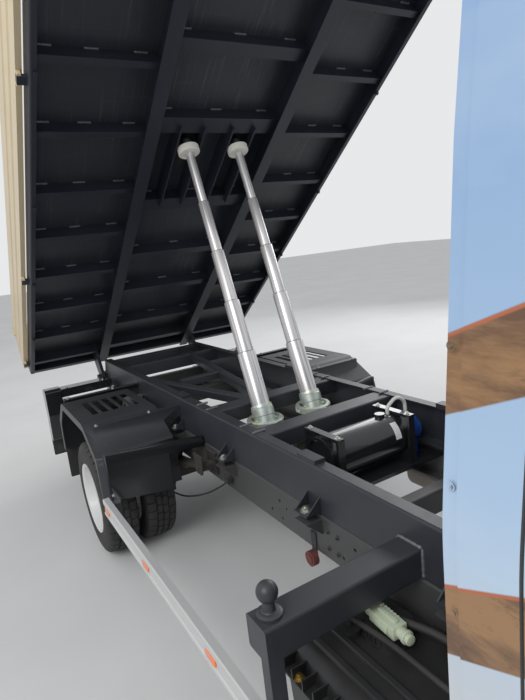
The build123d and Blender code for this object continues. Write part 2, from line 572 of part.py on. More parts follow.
springs = [leaf(2 * (LEAF_T + SEAT) - 3, EYE_X), leaf(LEAF_T - 1, 480), leaf(0, 300)]
springs = [join(springs), block(-60, 60, *LEAF_Y, AXLE_Z + 40, LEAF_Z + 100) - axle]
for x in (-EYE_X, EYE_X):
    springs.append(cross_rod(x, LEAF_Y[0], LEAF_Y[1], EYE_Z + 28, 26))
    hanger = [(x - 55, SUB_BOT - 12), (x + 55, SUB_BOT - 12), (x + 40, EYE_Z - 6, 24),
              (x - 40, EYE_Z - 6, 24)]
    springs += [prism_y(hanger, y, y + 8) for y in (LEAF_Y[0] - 8, LEAF_Y[1])]
    springs.append(block(x - 45, x + 45, RAIL_Y + SEAT, LEAF_Y[0] - 7, CH_BOT + 40, SUB_BOT - 20))
    springs.append(cross_rod(x, LEAF_Y[0] - 9, LEAF_Y[1] + 14, EYE_Z + 28, 11))
springs.append(rod((70, 500, AXLE_Z - 70), (340, 500, 640), 24))
springs.append(rod((190, 500, 460), (340, 500, 640), 30))
springs.append(block(310, 372, RAIL_Y + SEAT, 512, 630, 662))
springs.append(block(30, 90, 476, 512, AXLE_Z - 85, AXLE_Z - 30) - axle)
parts["rear_springs"] = join([join(both(s)) for s in springs]) - axle

# gearbox and propshaft, engine block with its mounts, radiator
GEARBOX_X = (2900.0, 3960.0)
PROP_X, PROP_Z = 1650.0, 470.0
parts["driveline"] = join([rod((240 + 3 + SEAT, 0, AXLE_Z + 20), (PROP_X, 0, PROP_Z), 38),
                           rod((PROP_X, 0, PROP_Z), (GEARBOX_X[0], 0, 520), 38),
                           Pos(PROP_X, 0, PROP_Z) * Sphere(52),
                           prism_x([(-150, 430, 60), (150, 430, 60), (130, 700, 50),
                                    (-130, 700, 50)], GEARBOX_X[0], GEARBOX_X[1] - SEAT),
                           block(3000, 3060, -INNER + SEAT, INNER - SEAT, 640, 690)])
parts["engine_block"] = join([block(GEARBOX_X[1], 4320, -250, 250, 560, 1020),
                              block(4080, 4240, -420, 420, SUB_BOT + SEAT, 730),
                              block(4318, 4440, -40, 40, 700, 900),
                              block(4440, 4480, -390, 390, 590, 1010)])

# front axle beam with leaf springs
BEAM_END = KING_Y - 28 - SEAT
front = prism_y([(WHEELBASE + x, AXLE_Z + z, 8) for x, z in ((-38, -62), (38, -62), (38, 18),
                                                            (-38, 18))], -BEAM_END, BEAM_END)
front_leaf = [(WHEELBASE - 550, 490), (WHEELBASE, 366, 2000), (WHEELBASE + 550, 490),
              (WHEELBASE + 550, 515), (WHEELBASE, 400, 2000), (WHEELBASE - 550, 515)]
front_leaf = prism_y(front_leaf, 360, 430) + block(WHEELBASE - 60, WHEELBASE + 60, 360, 430,
                                                   AXLE_Z, 400)
for x in (WHEELBASE - 540, WHEELBASE + 500):
    front_leaf = front_leaf + block(x, x + 40, 376, 430, 500, CH_BOT - SEAT)
parts["front_axle"] = join([front] + both(front_leaf))

# wheels: (radius, y) sections; the disc stands off the rim's middle by DISH
TYRE_HALF = [(RIM_R + SEAT, 81), (RIM_R + 32, 96), (TYRE_R - 70, 98), (TYRE_R - 24, 90),
             (TYRE_R - 6, 76), (TYRE_R, 40)]
TYRE = [(r, -y) for r, y in TYRE_HALF] + [(r, y) for r, y in reversed(TYRE_HALF)]
RIM_T = 7.0
LIP_R, WELL_R = RIM_R + 11, RIM_R - 28
RIM_HALF = [(LIP_R, 95), (LIP_R, 88), (RIM_R, 84), (RIM_R, 66), (WELL_R, 38)]
RIM = [(r, -y) for r, y in RIM_HALF] + [(r, y) for r, y in reversed(RIM_HALF)]
RIM += [(RIM_R - RIM_T, 88), (WELL_R - RIM_T, 40), (WELL_R - RIM_T, -40), (RIM_R - RIM_T, -88)]
DISH, DISC_T, FACE_R = 62.0, 10.0, 108.0


def disc(y, out, x, dish):
    """Wheel disc that bulges by dish from the rim's well to a flat face at y, towards out."""
    run = [(0, 0), (FACE_R, 0), (FACE_R + 26, -14), (WELL_R - RIM_T + 2, -dish + 6),
           (WELL_R - RIM_T + 2, -dish - DISC_T), (FACE_R + 16, -14 - DISC_T), (0, -DISC_T)]
    solid = turned([(r, out * v) for r, v in run], y, x, AXLE_Z)
    reach = (FACE_R + WELL_R) / 2 + 6
    spots = [2 * math.pi * k / HAND_HOLES for k in range(HAND_HOLES)]
    return solid - [cross_rod(x + reach * math.cos(a), y - 140, y + 140,
                              AXLE_Z + reach * math.sin(a), 15) for a in spots]


for name, side in (("right", -1), ("left", 1)):
    y = side * FRONT_Y
    parts["tyre_front_" + name] = turned(TYRE, y, WHEELBASE, AXLE_Z)
    face = y + side * DISH
    parts["rim_front_" + name] = join([
        turned(RIM, y, WHEELBASE, AXLE_Z), disc(face, side, WHEELBASE, DISH),
        cross_rod(WHEELBASE, y - side * 30, face, AXLE_Z, HUB_R - 10),
        cross_rod(WHEELBASE, face, face + side * 30, AXLE_Z, 42)])
    knuckle = cross_rod(WHEELBASE, side * (KING_Y + 20), y - side * (30 + SEAT), AXLE_Z, 45)
    knuckle = knuckle + rod((WHEELBASE, side * KING_Y, AXLE_Z - 95),
                            (WHEELBASE, side * KING_Y, AXLE_Z + 90), 28)
    steer = prism_z([(WHEELBASE - 160, side * 705, 12), (WHEELBASE - 160, side * 675, 12),
                     (WHEELBASE - 5, side * 685), (WHEELBASE - 5, side * 720)],
                    AXLE_Z - 95, AXLE_Z - 75)
    parts["knuckle_" + name] = knuckle + steer
    twins = [side * (TWIN_MID_Y - TWIN_OFF), side * (TWIN_MID_Y + TWIN_OFF)]
    parts["tyres_rear_" + name] = join([turned(TYRE, c, 0, AXLE_Z) for c in twins])
    rims = [turned(RIM, c, 0, AXLE_Z) for c in twins]
    mid = side * TWIN_MID_Y
    rims += [disc(mid, -side, 0, TWIN_OFF), disc(mid, side, 0, TWIN_OFF)]
    rims += [cross_rod(0, side * AXLE_END, mid - side * 50, AXLE_Z, DRUM_R - 4),
             cross_rod(0, mid - side * 52, mid - side * 5, AXLE_Z, FACE_R),
             cross_rod(0, mid - side * 5, mid + side * 95, AXLE_Z, HUB_R),
             cross_rod(0, mid + side * 90, mid + side * 125, AXLE_Z, HUB_R - 16)]
    parts["rims_rear_" + name] = join(rims)

# rear fenders: bent band with a rolled outer lip, slotted top, angle bars, front plate
FENDER = [(-690, 430), (-648, 700, 90), (-455, 860, 110), (150, 860, 110), (400, 716, 90),
          (436, 430)]
CUT_Z = 470.0
Y0, Y1 = FENDER_Y
shape = prism_y(FENDER, Y0, Y1) - prism_y(inset(FENDER, FENDER_T), Y0 - 1, Y1 + 1)
shape = shape + (prism_y(FENDER, Y1 - FENDER_T, Y1) -
                 prism_y(inset(FENDER, FENDER_LIP), Y0, Y1 + 1))
shape = shape - block(-800, 600, Y0 - 1, Y1 + 1, 400, CUT_Z)
shape = shape - [block(-310, 10, y, y + 42, 840, 880) for y in range(600, 900, 62)]


def angle_bar(x, ahead, low):
    """Angle over the fender's slope at x: upright leg towards ahead, level leg behind it."""
    leg = block(x - 3, x + 3, RAIL_Y + SEAT, 955, low, 856)
    return leg + block(x, x - ahead * 42, RAIL_Y + SEAT, 955, 850, 856)


FRONT_BAR = [(406, -955), (561, -RAIL_Y - 7)]
plate = [other_side(bar(*FRONT_BAR, 40, 690, 745)),
         other_side(bar((406, -955), (505, -625), 5, CUT_Z, 700, 0)),
         block(404, 434, 949, 956, CUT_Z, 745),
         block(430, 600, 940, 946, 500, 560) + block(404, 434, 940, 950, 500, 560),
         block(GUARD_X[0] + 8, 600, 940, ARM_END_Y, 500, 540)]
fender = [shape, angle_bar(262, 1, 790), angle_bar(-556, -1, 768)] + plate
parts["rear_fenders"] = join(both(join(fender)))

# mud flaps with their bearers
FLAP_Y = (560.0, 975.0)
flap = prism_x([(FLAP_Y[0], 235, 10), (FLAP_Y[1], 235, 10), (FLAP_Y[1], 520), (FLAP_Y[0], 520)],
               -722, -716)
flap = flap + (block(-717, -670, *FLAP_Y, 474, 500) - prism_y(FENDER, Y0 - 1, Y1 + 1))
BOX = [(-1440, 770, 30), (-1300, 770, 30), (-1310, 560), (-1345, 335, 20), (-1415, 335, 20)]
small = prism_x([(850, 190, 10), (975, 190, 10), (975, 490), (850, 490)], -1430, -1421)
parts["mud_flaps"] = join(both(flap) + both(small - prism_y(BOX, 840, 990)))

# rear bar, lamp boxes and the towing plate
bar_r = prism_y([(-1500, BAR_Z - 50, 12), (-1450, BAR_Z - 50, 12), (-1450, BAR_Z + 50, 12),
                 (-1500, BAR_Z + 50, 12)], -950, 950)
bar_r = bar_r + block(-1512, -1499, -110, 110, BAR_Z - 60, BAR_Z + 60)
bar_r = bar_r - [rod((-1520, y, z), (-1440, y, z), TOW_R) for y in (-TOW_Y / 2, TOW_Y / 2)
                 for z in (BAR_Z - TOW_Z / 2, BAR_Z + TOW_Z / 2)]
hanger = block(-1480, CH_X[0] - SEAT, 390, 430, BAR_Z + 49, SUB_BOT - 40)
hanger = hanger + block(-1480, CH_X[0] + 60, RAIL_Y + SEAT, RAIL_Y + 10, BAR_Z + 49, SUB_BOT - 40)
hanger = hanger + block(-1480, -1460, 428, RAIL_Y + 10, BAR_Z + 49, SUB_BOT - 40)
box = prism_y(BOX, 850, 975) - prism_y(inset(BOX, 5), 845, 970)
shelf = block(-1430, -1310, RAIL_Y + SEAT, 852, 752, 758) + block(-1316, -1310, RAIL_Y + SEAT, 852,
                                                                690, 758)
strut = block(-1455, -1421, 900, 945, BAR_Z + 28, BAR_Z + 48)
parts["rear_bar"] = join([bar_r] + both(hanger) + both(box + shelf + strut))

# cab: side view, front view and plan, each inset by SKIN for the hollow
SILL_Z = 600.0
HOOD = (4060.0, 1412.0)
SIDE = [(CAB_REAR, SILL_Z), (CAB_REAR, 2215, 90), (3060, 2285, 900), (3400, 2205, 160),
        (*HOOD, 160), (4570, 1255, 220), (CAB_NOSE, 1000, 240), (CAB_NOSE, SILL_Z)]
HALF = [(930, SILL_Z), (960, 800, 200), (960, 1330, 900), (905, 1870, 600), (850, 2228, 110)]
RING = HALF + [(0, 2304, 2400)] + [(-y, *rest) for y, *rest in reversed(HALF)]
NOSE = [(2400, 1000), (3900, 1000), (4662, 862, 110), (4712, 500, 600)]
PLAN = NOSE + [(x, -y, *r) for x, y, *r in reversed(NOSE)]
BELOW = 500.0


def cab_form(by):
    """The cab's outside moved inward by a distance; it reaches further down when inset."""
    side, ring = inset(SIDE, by), inset(RING, by)
    side[0], side[-1] = (side[0][0], BELOW), (side[-1][0], BELOW)
    ring[0], ring[-1] = (ring[0][0], BELOW), (ring[-1][0], BELOW)
    whole = prism_y(side, -1050, 1050) & prism_x(ring, 2500, 4900)
    return whole & prism_z(inset(PLAN, by), BELOW - 10, 2400)


outer = cab_form(0) - block(2500, 4900, -1050, 1050, BELOW - 20, SILL_Z)
hollow = cab_form(SKIN)
shell = outer - hollow
DOOR = [(2830, 700, 40), (3470, 700, 40), (3640, 835, 60), (3640, 1440, 60), (3340, 2090, 90),
        (2830, 2130, 70)]
GLASS = [(2905, 1410, 35), (3590, 1410, 50), (3285, 2035, 60), (2905, 2050, 50)]
QUARTER = [(3712, 1442, 25), (3950, 1442, 30), (3592, 1880, 20), (3512, 1880, 20)]
AWAY = (700, 1100)
door_form, door_hole = prism_y(DOOR, *AWAY), prism_y(inset(DOOR, -GAP), *AWAY)
glass_hole, quarter_hole = prism_y(GLASS, *AWAY), prism_y(QUARTER, *AWAY)
film = cab_form(GLASS_IN) - cab_form(GLASS_IN + GLASS_T)
arch = cross_rod(WHEELBASE, 480, 1100, AXLE_Z, ARCH_R + LINER_T + SEAT)
door = (shell & door_form) - glass_hole
handle = prism_y([(2885, 1268, 14), (3045, 1268, 14), (3045, 1308, 14), (2885, 1308, 14)], 940, 972)
housing = [(3575, 1012, 20), (3625, 1012, 30), (3625, 1190, 40), (3575, 1190, 10)]
fittings = [rod((3600, 930, 1440), (3600, 1020, 1485), 12), prism_z(housing, 1400, 1720), handle]
for z in (850, 1150):
    fittings += [rod((*DOOR_AXIS, z), (*DOOR_AXIS, z + 40), 7),
                 block(3620, DOOR_AXIS[0] - 7, 940, 966, z, z + 40) & door_form,
                 block(3620, DOOR_AXIS[0], 963, 973, z, z + 40)]
door_whole = join([door] + fittings)
pane = film & prism_y(inset(GLASS, SEAT), *AWAY)
for name, turn in (("left", lambda shape: shape), ("right", other_side)):
    parts["door_" + name] = turn(door_whole)
    parts["door_glass_" + name] = turn(pane)

# windscreen and rear window, cut square to their panes
def screen_box(out, into, half, trim):
    """Box across the windscreen between its upper and lower edge, from out to into the cab."""
    top, low = Vector(3445, 2100), Vector(4000, 1456)
    along = (low - top).normalized()
    top, low = top + along * trim, low - along * trim
    normal = Vector(-along.Y, along.X)
    lift = Vector(22, 26)
    spots = [top + lift + normal * out, low + lift + normal * out, low + lift - normal * into,
             top + lift - normal * into]
    return prism_y([(p.X, p.Y) for p in spots], -half, half)


SCREEN_HALF = 790.0
REAR_WINDOW = [(-500, 1500, 60), (500, 1500, 60), (500, 1950, 60), (-500, 1950, 60)]
screen_hole = screen_box(90, 90, SCREEN_HALF, 0)
rear_hole = prism_x(REAR_WINDOW, CAB_REAR - 10, CAB_REAR + SKIN + 10)
panes = [film & screen_box(90, 90, SCREEN_HALF - SEAT, SEAT),
         film & prism_x(inset(REAR_WINDOW, SEAT), CAB_REAR - 10, CAB_REAR + SKIN + 10)]
panes += both(film & prism_y(inset(QUARTER, SEAT), *AWAY))
parts["cab_glass"] = Compound(children=[s for p in panes for s in p.solids()])

# bonnet panel, cut out of the nose with the gap around it
BONNET = [(4085, -770, 40), (4545, -730, 90), (4545, 730, 90), (4085, 770, 40)]
bonnet_hole = prism_z(inset(BONNET, -GAP), 1120, 1900)
tabs = [block(BONNET[0][0] - GAP + SEAT, 4100, y, y + 60, 1330, 1366) for y in (-560, 500)]
parts["bonnet"] = join([shell & prism_z(BONNET, 1120, 1900)] + tabs)

# headlamps follow the nose; grille opening with slats stands in the bumper
LAMP = [(612, 880, 20), (612, 1000, 40), (840, 1060, 60), (893, 1000, 30), (880, 880, 20)]
GRILLE = [(-520, 650, 40), (520, 650, 40), (560, 820, 40), (-560, 820, 40)]
lamp_x = (4520, 4800)
lamp_body = (outer - Pos(-60, 0, 0) * outer) & prism_x(inset(LAMP, 3), *lamp_x)
shell = shell - both(prism_x(LAMP, *lamp_x))
shell = shell - prism_x(GRILLE, 4600, 4800)
under = block(2600, NOSE_X, -RAIL_Y - 7, RAIL_Y + 7, BELOW, SUB_BOT + 10)
# recessed flange down the rear edge, and lips round the wheel arches
flange = (outer - prism_x(inset(RING, 5), 2500, 4900)) & block(2600, CAB_REAR + 28, -1100, 1100,
                                                             BELOW, 2150)
lip = cross_rod(WHEELBASE, 700, 1000, AXLE_Z, ARCH_R + FLARE_W)
lip = lip & prism_x(inset(RING, -FLARE_OUT), WHEELBASE - 600, WHEELBASE + 600)
lip = (lip & prism_z(inset(PLAN, -FLARE_OUT), SILL_Z, 1000)) - prism_x(inset(RING, 10), 3000, 4600)
lip = lip - prism_y(inset(DOOR, -GAP - 4), *AWAY)
shell = join([shell - under - flange] + both(lip))
shell = shell - both(door_hole) - both(quarter_hole) - both(arch) - [screen_hole, rear_hole,
                                                                     bonnet_hole]
parts["cab_shell"] = shell

# rear lamps on the bar and headlamps in the nose
rear_lamp = prism_x([(760, BAR_Z + 50 + SEAT, 10), (945, BAR_Z + 50 + SEAT, 10), (945, 640, 10),
                     (760, 640, 10)], -1500, -1450)
parts["rear_lamps"] = join(both(rear_lamp))
parts["headlamps"] = Compound(children=[s for shape in both(lamp_body) for s in shape.solids()])

# front bumper: bent shell with the grille's slats, a lower intake and fog lamp cups
BUMP_SIDE = [(4262, SILL_Z - SEAT), (4262, 440, 50), (4330, 400, 40), (4690, 400, 60),
             (NOSE_X, 480, 80), (NOSE_X, 700, 90), (4736, 868, 20), (CAB_NOSE + 16, 868),
             (CAB_NOSE + 16, SILL_Z - SEAT)]
BUMP_NOSE = [(2400, 1046), (3900, 1046), (4706, 902, 120), (NOSE_X, 500, 700)]
BUMP_PLAN = BUMP_NOSE + [(x, -y, *r) for x, y, *r in reversed(BUMP_NOSE)]
bumper = prism_y(BUMP_SIDE, -1050, 1050) & prism_z(BUMP_PLAN, 390, 880)
bumper = bumper & prism_x(inset(RING, -6)[:1] + [(966, 800), (966, 900), (-966, 900), (-966, 800)] +
                          inset(RING, -6)[-1:] + [(-930, 300), (930, 300)], 4000, 4900)
inside = prism_y([(4200, 408), (4684, 408, 50), (NOSE_X - 10, 490, 70), (NOSE_X - 10, 601),
                  (4200, 601)], -1050, 1050) & prism_z(inset(BUMP_PLAN, 10), 390, 880)
INTAKE = [(-430, 460, 25), (430, 460, 25), (430, 560, 25), (-430, 560, 25)]
bumper = bumper - (inside & block(4200, 4900, -915, 915, 300, 600))
bumper = bumper - [prism_x(GRILLE, 4650, 4800), prism_x(INTAKE, 4650, 4800)]
bumper = bumper - both(rod((4650, 690, 505), (4800, 690, 505), 46))
slats = [prism_y([(NOSE_X - 34, z), (NOSE_X - 20, z + 4), (NOSE_X - 20, z + 14),
                  (NOSE_X - 34, z + 10)], -(525 + (z - 650) * 0.2), 525 + (z - 650) * 0.2)
         for z in range(672, 810, 30)]
slats += [block(NOSE_X - 26, NOSE_X - 20, y - 4, y + 4, 455, 565) for y in range(-360, 361, 90)]
slats += [block(NOSE_X - 24, NOSE_X - 19, -425, 425, 506, 512)]
slats += [block(NOSE_X - 40, NOSE_X - 28, y - 8, y + 8, 648, 822) for y in (-200, 200)]
stays = block(CH_X[1] + SEAT, NOSE_X - 4, 340, 430, 556, 586)
parts["front_bumper"] = join([bumper] + slats + both(stays))

# wheel housings and door steps
liner = cross_rod(WHEELBASE, 476, 930, AXLE_Z, ARCH_R + LINER_T) - cross_rod(
    WHEELBASE, 482, 1000, AXLE_Z, ARCH_R)
liner = liner & block(3200, 4400, 470, 930, SILL_Z - 30, 900)
liner = liner & cab_form(SKIN / 2)
STEP = [(2765, 610 - 10), (3338, 610 - 10), (3325, 330, 40), (2790, 330, 40)]
step = prism_y(STEP, 560, 940) - prism_y(inset(STEP, 8), 555, 935)
step = step + block(2800, 3310, 690, 938, 452, 460)
step = step - prism_y([(2810, 380, 30), (3310, 380, 30), (3318, 560, 30), (2800, 560, 30)], 930, 945)
step = step - block(2700, 3400, 500, 1000, SILL_Z - SEAT, 700)
parts["cab_lower_trim"] = join(both(liner)) + join(both(step))

# cab floor with mounts, firewall, tunnel
floor_z = (720.0, 745.0)
fl = block(CAB_REAR + SKIN, 3350, -990, 990, *floor_z) & hollow
wall = block(3900, 3930, -470, 470, floor_z[0], 1300) + block(3350, 3901, -470, 470, *floor_z)
feet = both(block(2760, 2880, FLANGE + 319, RAIL_Y, SUB_BOT + SEAT, floor_z[0] + 1))
parts["cab_floor"] = join([fl - both(door_hole), wall] + feet)

# seats: driver's seat on the left, double bench on the right
seat_list = []
for y, half in ((-590, 215), (-150, 215), (450, 235)):
    cushion = [(2930, floor_z[1] + 190, 20), (2930, 1100, 40), (3380, 1130, 60),
               (3400, floor_z[1] + 200, 30)]
    back = [(2800, 1060, 40), (2925, 1060, 30), (2880, 1700, 50), (2785, 1700, 40)]
    rest = [(2792, 1716, 25), (2870, 1716, 25), (2860, 1890, 35), (2788, 1890, 35)]
    seat_list += [prism_y(cushion, y - half, y + half), prism_y(back, y - half, y + half),
                  prism_y(rest, y - 120, y + 120),
                  block(2790, 2935, y - half + 30, y + half - 30, 1000, 1100),
                  block(2960, 3330, y - half + 40, y + half - 40, floor_z[1] + SEAT, 960),
                  rod((2830, y - 50, 1690), (2830, y - 50, 1730), 7),
                  rod((2830, y + 50, 1690), (2830, y + 50, 1730), 7)]
parts["seats"] = join(seat_list)

# dashboard with the steering wheel
dash = prism_y([(3660, 1290, 60), (3880, 1368, 30), (3900 - SEAT, 1100), (3760, 930, 60),
                (3690, 960, 40)], -780, 780)
dash = dash + prism_y([(3600, 1000, 40), (3660, 1180, 30), (3770, 1180), (3770, 800), (3640, 800, 30)],
                      -110, 110)
HUB = Plane(origin=(3525, 450, 1292), z_dir=(-0.9, 0, 0.43))
wheel = [rod((3760, 450, 1180), (3530, 450, 1290), 25), HUB * Torus(180, 14), HUB * Cylinder(52, 30)]
wheel += [HUB * Rot(0, 0, a) * Pos(110, 0, 0) * Box(140, 26, 12) for a in (0, 90, 180, 270)]
parts["dashboard"] = join([dash] + wheel)

os.makedirs("parts", exist_ok=True)
placed = {name: Pos(SHIFT, 0, 0) * shape for name, shape in parts.items()}
for name, shape in placed.items():
    export_step(shape, os.path.join("parts", name + ".step"))
box = Compound(children=list(placed.values())).bounding_box()
print("shift", SHIFT, "box", box.min, box.max, "nodes", len(parts))
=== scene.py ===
import json
import math
import bmesh
import bpy
from mathutils import Matrix, Vector


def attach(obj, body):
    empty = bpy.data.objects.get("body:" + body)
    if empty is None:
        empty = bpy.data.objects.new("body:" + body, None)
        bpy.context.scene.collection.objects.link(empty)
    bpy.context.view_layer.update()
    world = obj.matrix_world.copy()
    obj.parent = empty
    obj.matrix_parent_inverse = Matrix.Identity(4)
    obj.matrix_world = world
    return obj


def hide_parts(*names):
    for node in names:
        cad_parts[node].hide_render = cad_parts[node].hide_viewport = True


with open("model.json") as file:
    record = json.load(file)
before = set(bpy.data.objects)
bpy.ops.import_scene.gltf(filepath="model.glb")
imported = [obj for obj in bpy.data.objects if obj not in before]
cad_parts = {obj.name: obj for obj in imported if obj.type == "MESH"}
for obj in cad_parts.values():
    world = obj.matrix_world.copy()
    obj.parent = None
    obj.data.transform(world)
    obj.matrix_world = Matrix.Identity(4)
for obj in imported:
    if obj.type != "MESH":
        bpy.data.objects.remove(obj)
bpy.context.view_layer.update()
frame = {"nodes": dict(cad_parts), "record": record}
NODES = frame["nodes"]
SLOTS = {entry["node"]: entry["material_slot"] for entry in frame["record"]["subparts"]}

# The camera stands where the photograph was taken from, ahead of the cab's rear corner.
FOCAL_PIXELS, PHOTO_HEIGHT, SENSOR = 531.16, 700, 36
EYE = Vector((1.8186, -1.5022, 1.7645))
RIGHT = Vector((0.51426, 0.85065, -0.10924))
UP = Vector((-0.11723, 0.19590, 0.97359))
BACK = Vector((0.84958, -0.48787, 0.20046))
camera = bpy.data.objects.new("camera", bpy.data.cameras.new("camera"))
camera.data.lens = FOCAL_PIXELS / PHOTO_HEIGHT * SENSOR
camera.data.sensor_width = SENSOR
camera.data.clip_start = 0.02
camera.matrix_world = Matrix.Translation(EYE) @ Matrix((RIGHT, UP, BACK)).transposed().to_4x4()
bpy.context.collection.objects.link(camera)
bpy.context.scene.camera = camera
bpy.context.scene.view_settings.view_transform = "Standard"


# Places of the truck, in metres. The bed leans back by SLOPE about its foot, the rams by RAM_LEAN.
SHIFT = -1.372276
SLOPE, RAM_LEAN = math.radians(36.88), math.radians(19.6)
AXLE_Z, WHEELBASE, FRONT_Y, TWIN_Y, TWIN_OFF = 0.345, 3.8, 0.82, 0.77, 0.115
CAB_CENTRE = (2.10, 0.0, 1.25)


def at(x, y, z):
    """A place written from the rear axle, as in the part's source."""
    return Vector((x + SHIFT, y, z))


BED_FOOT, RAM_FOOT = at(-1.693, 0, 0.980), at(0.8, 0, 0.815)
BED = Matrix.Translation(BED_FOOT) @ Matrix.Rotation(-SLOPE, 4, "Y")
RAM = Matrix.Translation(RAM_FOOT) @ Matrix.Rotation(-RAM_LEAN, 4, "Y")
RAM_AXIS = RAM.to_3x3() @ Vector((0, 0, 1))

# Along a ram from its foot: where each stage's mouth, the white cap and the ball stand.
STAGE_R = (0.0245, 0.0300, 0.0362, 0.0430, 0.0500)
STROKE, OVERLAP, MOUTH, RAM_Y = 0.294, 0.340, 0.092, 0.160
CORE = 0.0004
COLLAR_AT, CAP_AT, CAP_TOP, BALL_AT, BALL_R = 1.5652, 1.567, 1.607, 1.644, 0.030


# Shader values as plain Python arithmetic.
class Socket:
    """One value in a shader tree; arithmetic on it adds Math nodes."""

    def __init__(self, tree, out):
        self.tree, self.out = tree, out

    def maths(self, kind, *others, first=True, clamp=False):
        node = self.tree.nodes.new("ShaderNodeMath")
        node.operation, node.use_clamp = kind, clamp
        values = (self,) + others if first else others + (self,)
        for slot, value in zip(node.inputs, values):
            put(self.tree, slot, value)
        return Socket(self.tree, node.outputs[0])

    def __add__(self, other):
        return self.maths("ADD", other)

    def __sub__(self, other):
        return self.maths("SUBTRACT", other)

    def __rsub__(self, other):
        return self.maths("SUBTRACT", other, first=False)

    def __mul__(self, other):
        return self.maths("MULTIPLY", other)

    def __truediv__(self, other):
        return self.maths("DIVIDE", other)

    def __pow__(self, other):
        return self.maths("POWER", other)

    def __lt__(self, other):
        return self.maths("LESS_THAN", other)

    def __abs__(self):
        return self.maths("ABSOLUTE")

    def clamp(self):
        return self.maths("ADD", 0.0, clamp=True)

    def wave(self):
        return self.maths("SINE")

    def over(self, low, high):
        """0 at low and under, 1 at high and over."""
        return ((self - low) / (high - low)).clamp()


def put(tree, slot, value):
    if isinstance(value, Socket):
        tree.links.new(value.out, slot)
    elif slot.type == "RGBA":
        slot.default_value = (*value[:3], 1.0)
    else:
        slot.default_value = value


class Finish:
    """A material being written: its tree, its principled shader and the usual patterns."""

    def __init__(self, name, **fixed):
        self.mat = bpy.data.materials.new(name)
        self.mat.use_nodes = True
        self.tree = self.mat.node_tree
        self.shader = next(n for n in self.tree.nodes if n.type == "BSDF_PRINCIPLED")
        self.space = self.node("ShaderNodeTexCoord", "Object", {})
        split = self.node("ShaderNodeSeparateXYZ", "X", {"Vector": self.space}).out.node
        self.x, self.y, self.z = (Socket(self.tree, out) for out in split.outputs)
        for key, value in fixed.items():
            self.set(key, value)

    def node(self, kind, out, inputs, **settings):
        """One node: its settings first, then the values or links of its sockets."""
        node = self.tree.nodes.new(kind)
        for key, value in settings.items():
            setattr(node, key, value)
        for key, value in inputs.items():
            put(self.tree, node.inputs[key], value)
        return Socket(self.tree, node.outputs[out])

    def set(self, key, value):
        put(self.tree, self.shader.inputs[key.replace("_", " ")], value)

    def noise(self, scale, detail=3.0, rough=0.6, stretch=(1, 1, 1), turn=(0, 0, 0)):
        place = self.node("ShaderNodeMapping", "Vector",
                          {"Vector": self.space, "Scale": stretch, "Rotation": turn})
        return self.node("ShaderNodeTexNoise", "Fac",
                         {"Vector": place, "Scale": scale, "Detail": detail, "Roughness": rough})

    def facing(self, centre):
        """Positive where the surface looks away from the centre of its shell."""
        normal = self.node("ShaderNodeTexCoord", "Normal", {})
        arm = self.node("ShaderNodeVectorMath", "Vector", {0: self.space, 1: centre},
                        operation="SUBTRACT")
        return self.node("ShaderNodeVectorMath", "Value", {0: normal, 1: arm},
                         operation="DOT_PRODUCT")

    def facing_up(self):
        normal = self.node("ShaderNodeNewGeometry", "Normal", {})
        return self.node("ShaderNodeSeparateXYZ", "Z", {"Vector": normal})

    def mix(self, factor, a, b):
        """Colour a at 0, colour b at 1."""
        return self.node("ShaderNodeMix", 2, {0: factor, 6: a, 7: b}, data_type="RGBA")

    def bump(self, height, strength=0.3, distance=0.002):
        self.set("Normal", self.node("ShaderNodeBump", "Normal",
                                     {"Height": height, "Strength": strength,
                                      "Distance": distance}))


def worn(name, base, dust, amount=0.3, rough=0.45, metallic=0.0, coat=0.0, grain=60.0):
    """Paint with a thin film of dust on what faces up, faint stains and a fine grain."""
    skin = Finish(name, Metallic=metallic, Coat_Weight=coat)
    soft = skin.noise(2.3, 5.0, 0.65).over(0.42, 0.72)
    fine = skin.noise(55.0, 3.0, 0.7).over(0.55, 0.85)
    settled = skin.facing_up().over(0.3, 0.98)
    film = ((soft * 0.35 + fine * 0.25 + settled * 0.45) * amount).clamp()
    tone = skin.mix(skin.noise(5.0, 4.0).over(0.35, 0.75) * 0.3, base, tuple(c * 0.8 for c in base))
    streak = skin.noise(30.0, 3.0, 0.6, stretch=(1, 1, 0.08)).over(0.6, 0.8) * amount * 0.3
    skin.set("Base_Color", skin.mix((film + streak).clamp(), tone, dust))
    skin.set("Roughness", (film * 0.35 + skin.noise(14.0) * 0.14 + (rough - 0.07)).clamp())
    skin.bump(skin.noise(grain, 3.0) + skin.noise(9.0, 2.0) * 0.5, 0.14, 0.0008)
    return skin.mat


def plain(name, base, rough=0.5, metallic=0.0, coat=0.0, grain=0.0):
    """One colour with a soft, cloudy change of tone."""
    skin = Finish(name, Metallic=metallic, Coat_Weight=coat)
    soft = skin.noise(6.0, 4.0)
    skin.set("Base_Color", skin.mix(soft.over(0.35, 0.75) * 0.25, base,
                                    tuple(c * 0.7 for c in base)))
    skin.set("Roughness", (soft * 0.18 + (rough - 0.09)).clamp())
    if grain:
        skin.bump(skin.noise(grain, 2.0), 0.2, 0.0005)
    return skin.mat


def brushed(name, base, rough, along, metallic):
    """Drawn or turned metal: fine lines square to the stretch."""
    skin = Finish(name, Metallic=metallic)
    lines = skin.noise(70.0, 2.0, 0.5, stretch=along)
    stain = skin.noise(3.0, 4.0).over(0.5, 0.8)
    skin.set("Base_Color", skin.mix((lines * 0.3 + stain * 0.25).clamp(), base,
                                    tuple(c * 0.72 for c in base)))
    skin.set("Roughness", (lines * 0.16 + stain * 0.12 + rough).clamp())
    skin.bump(lines, 0.05, 0.0003)
    return skin.mat


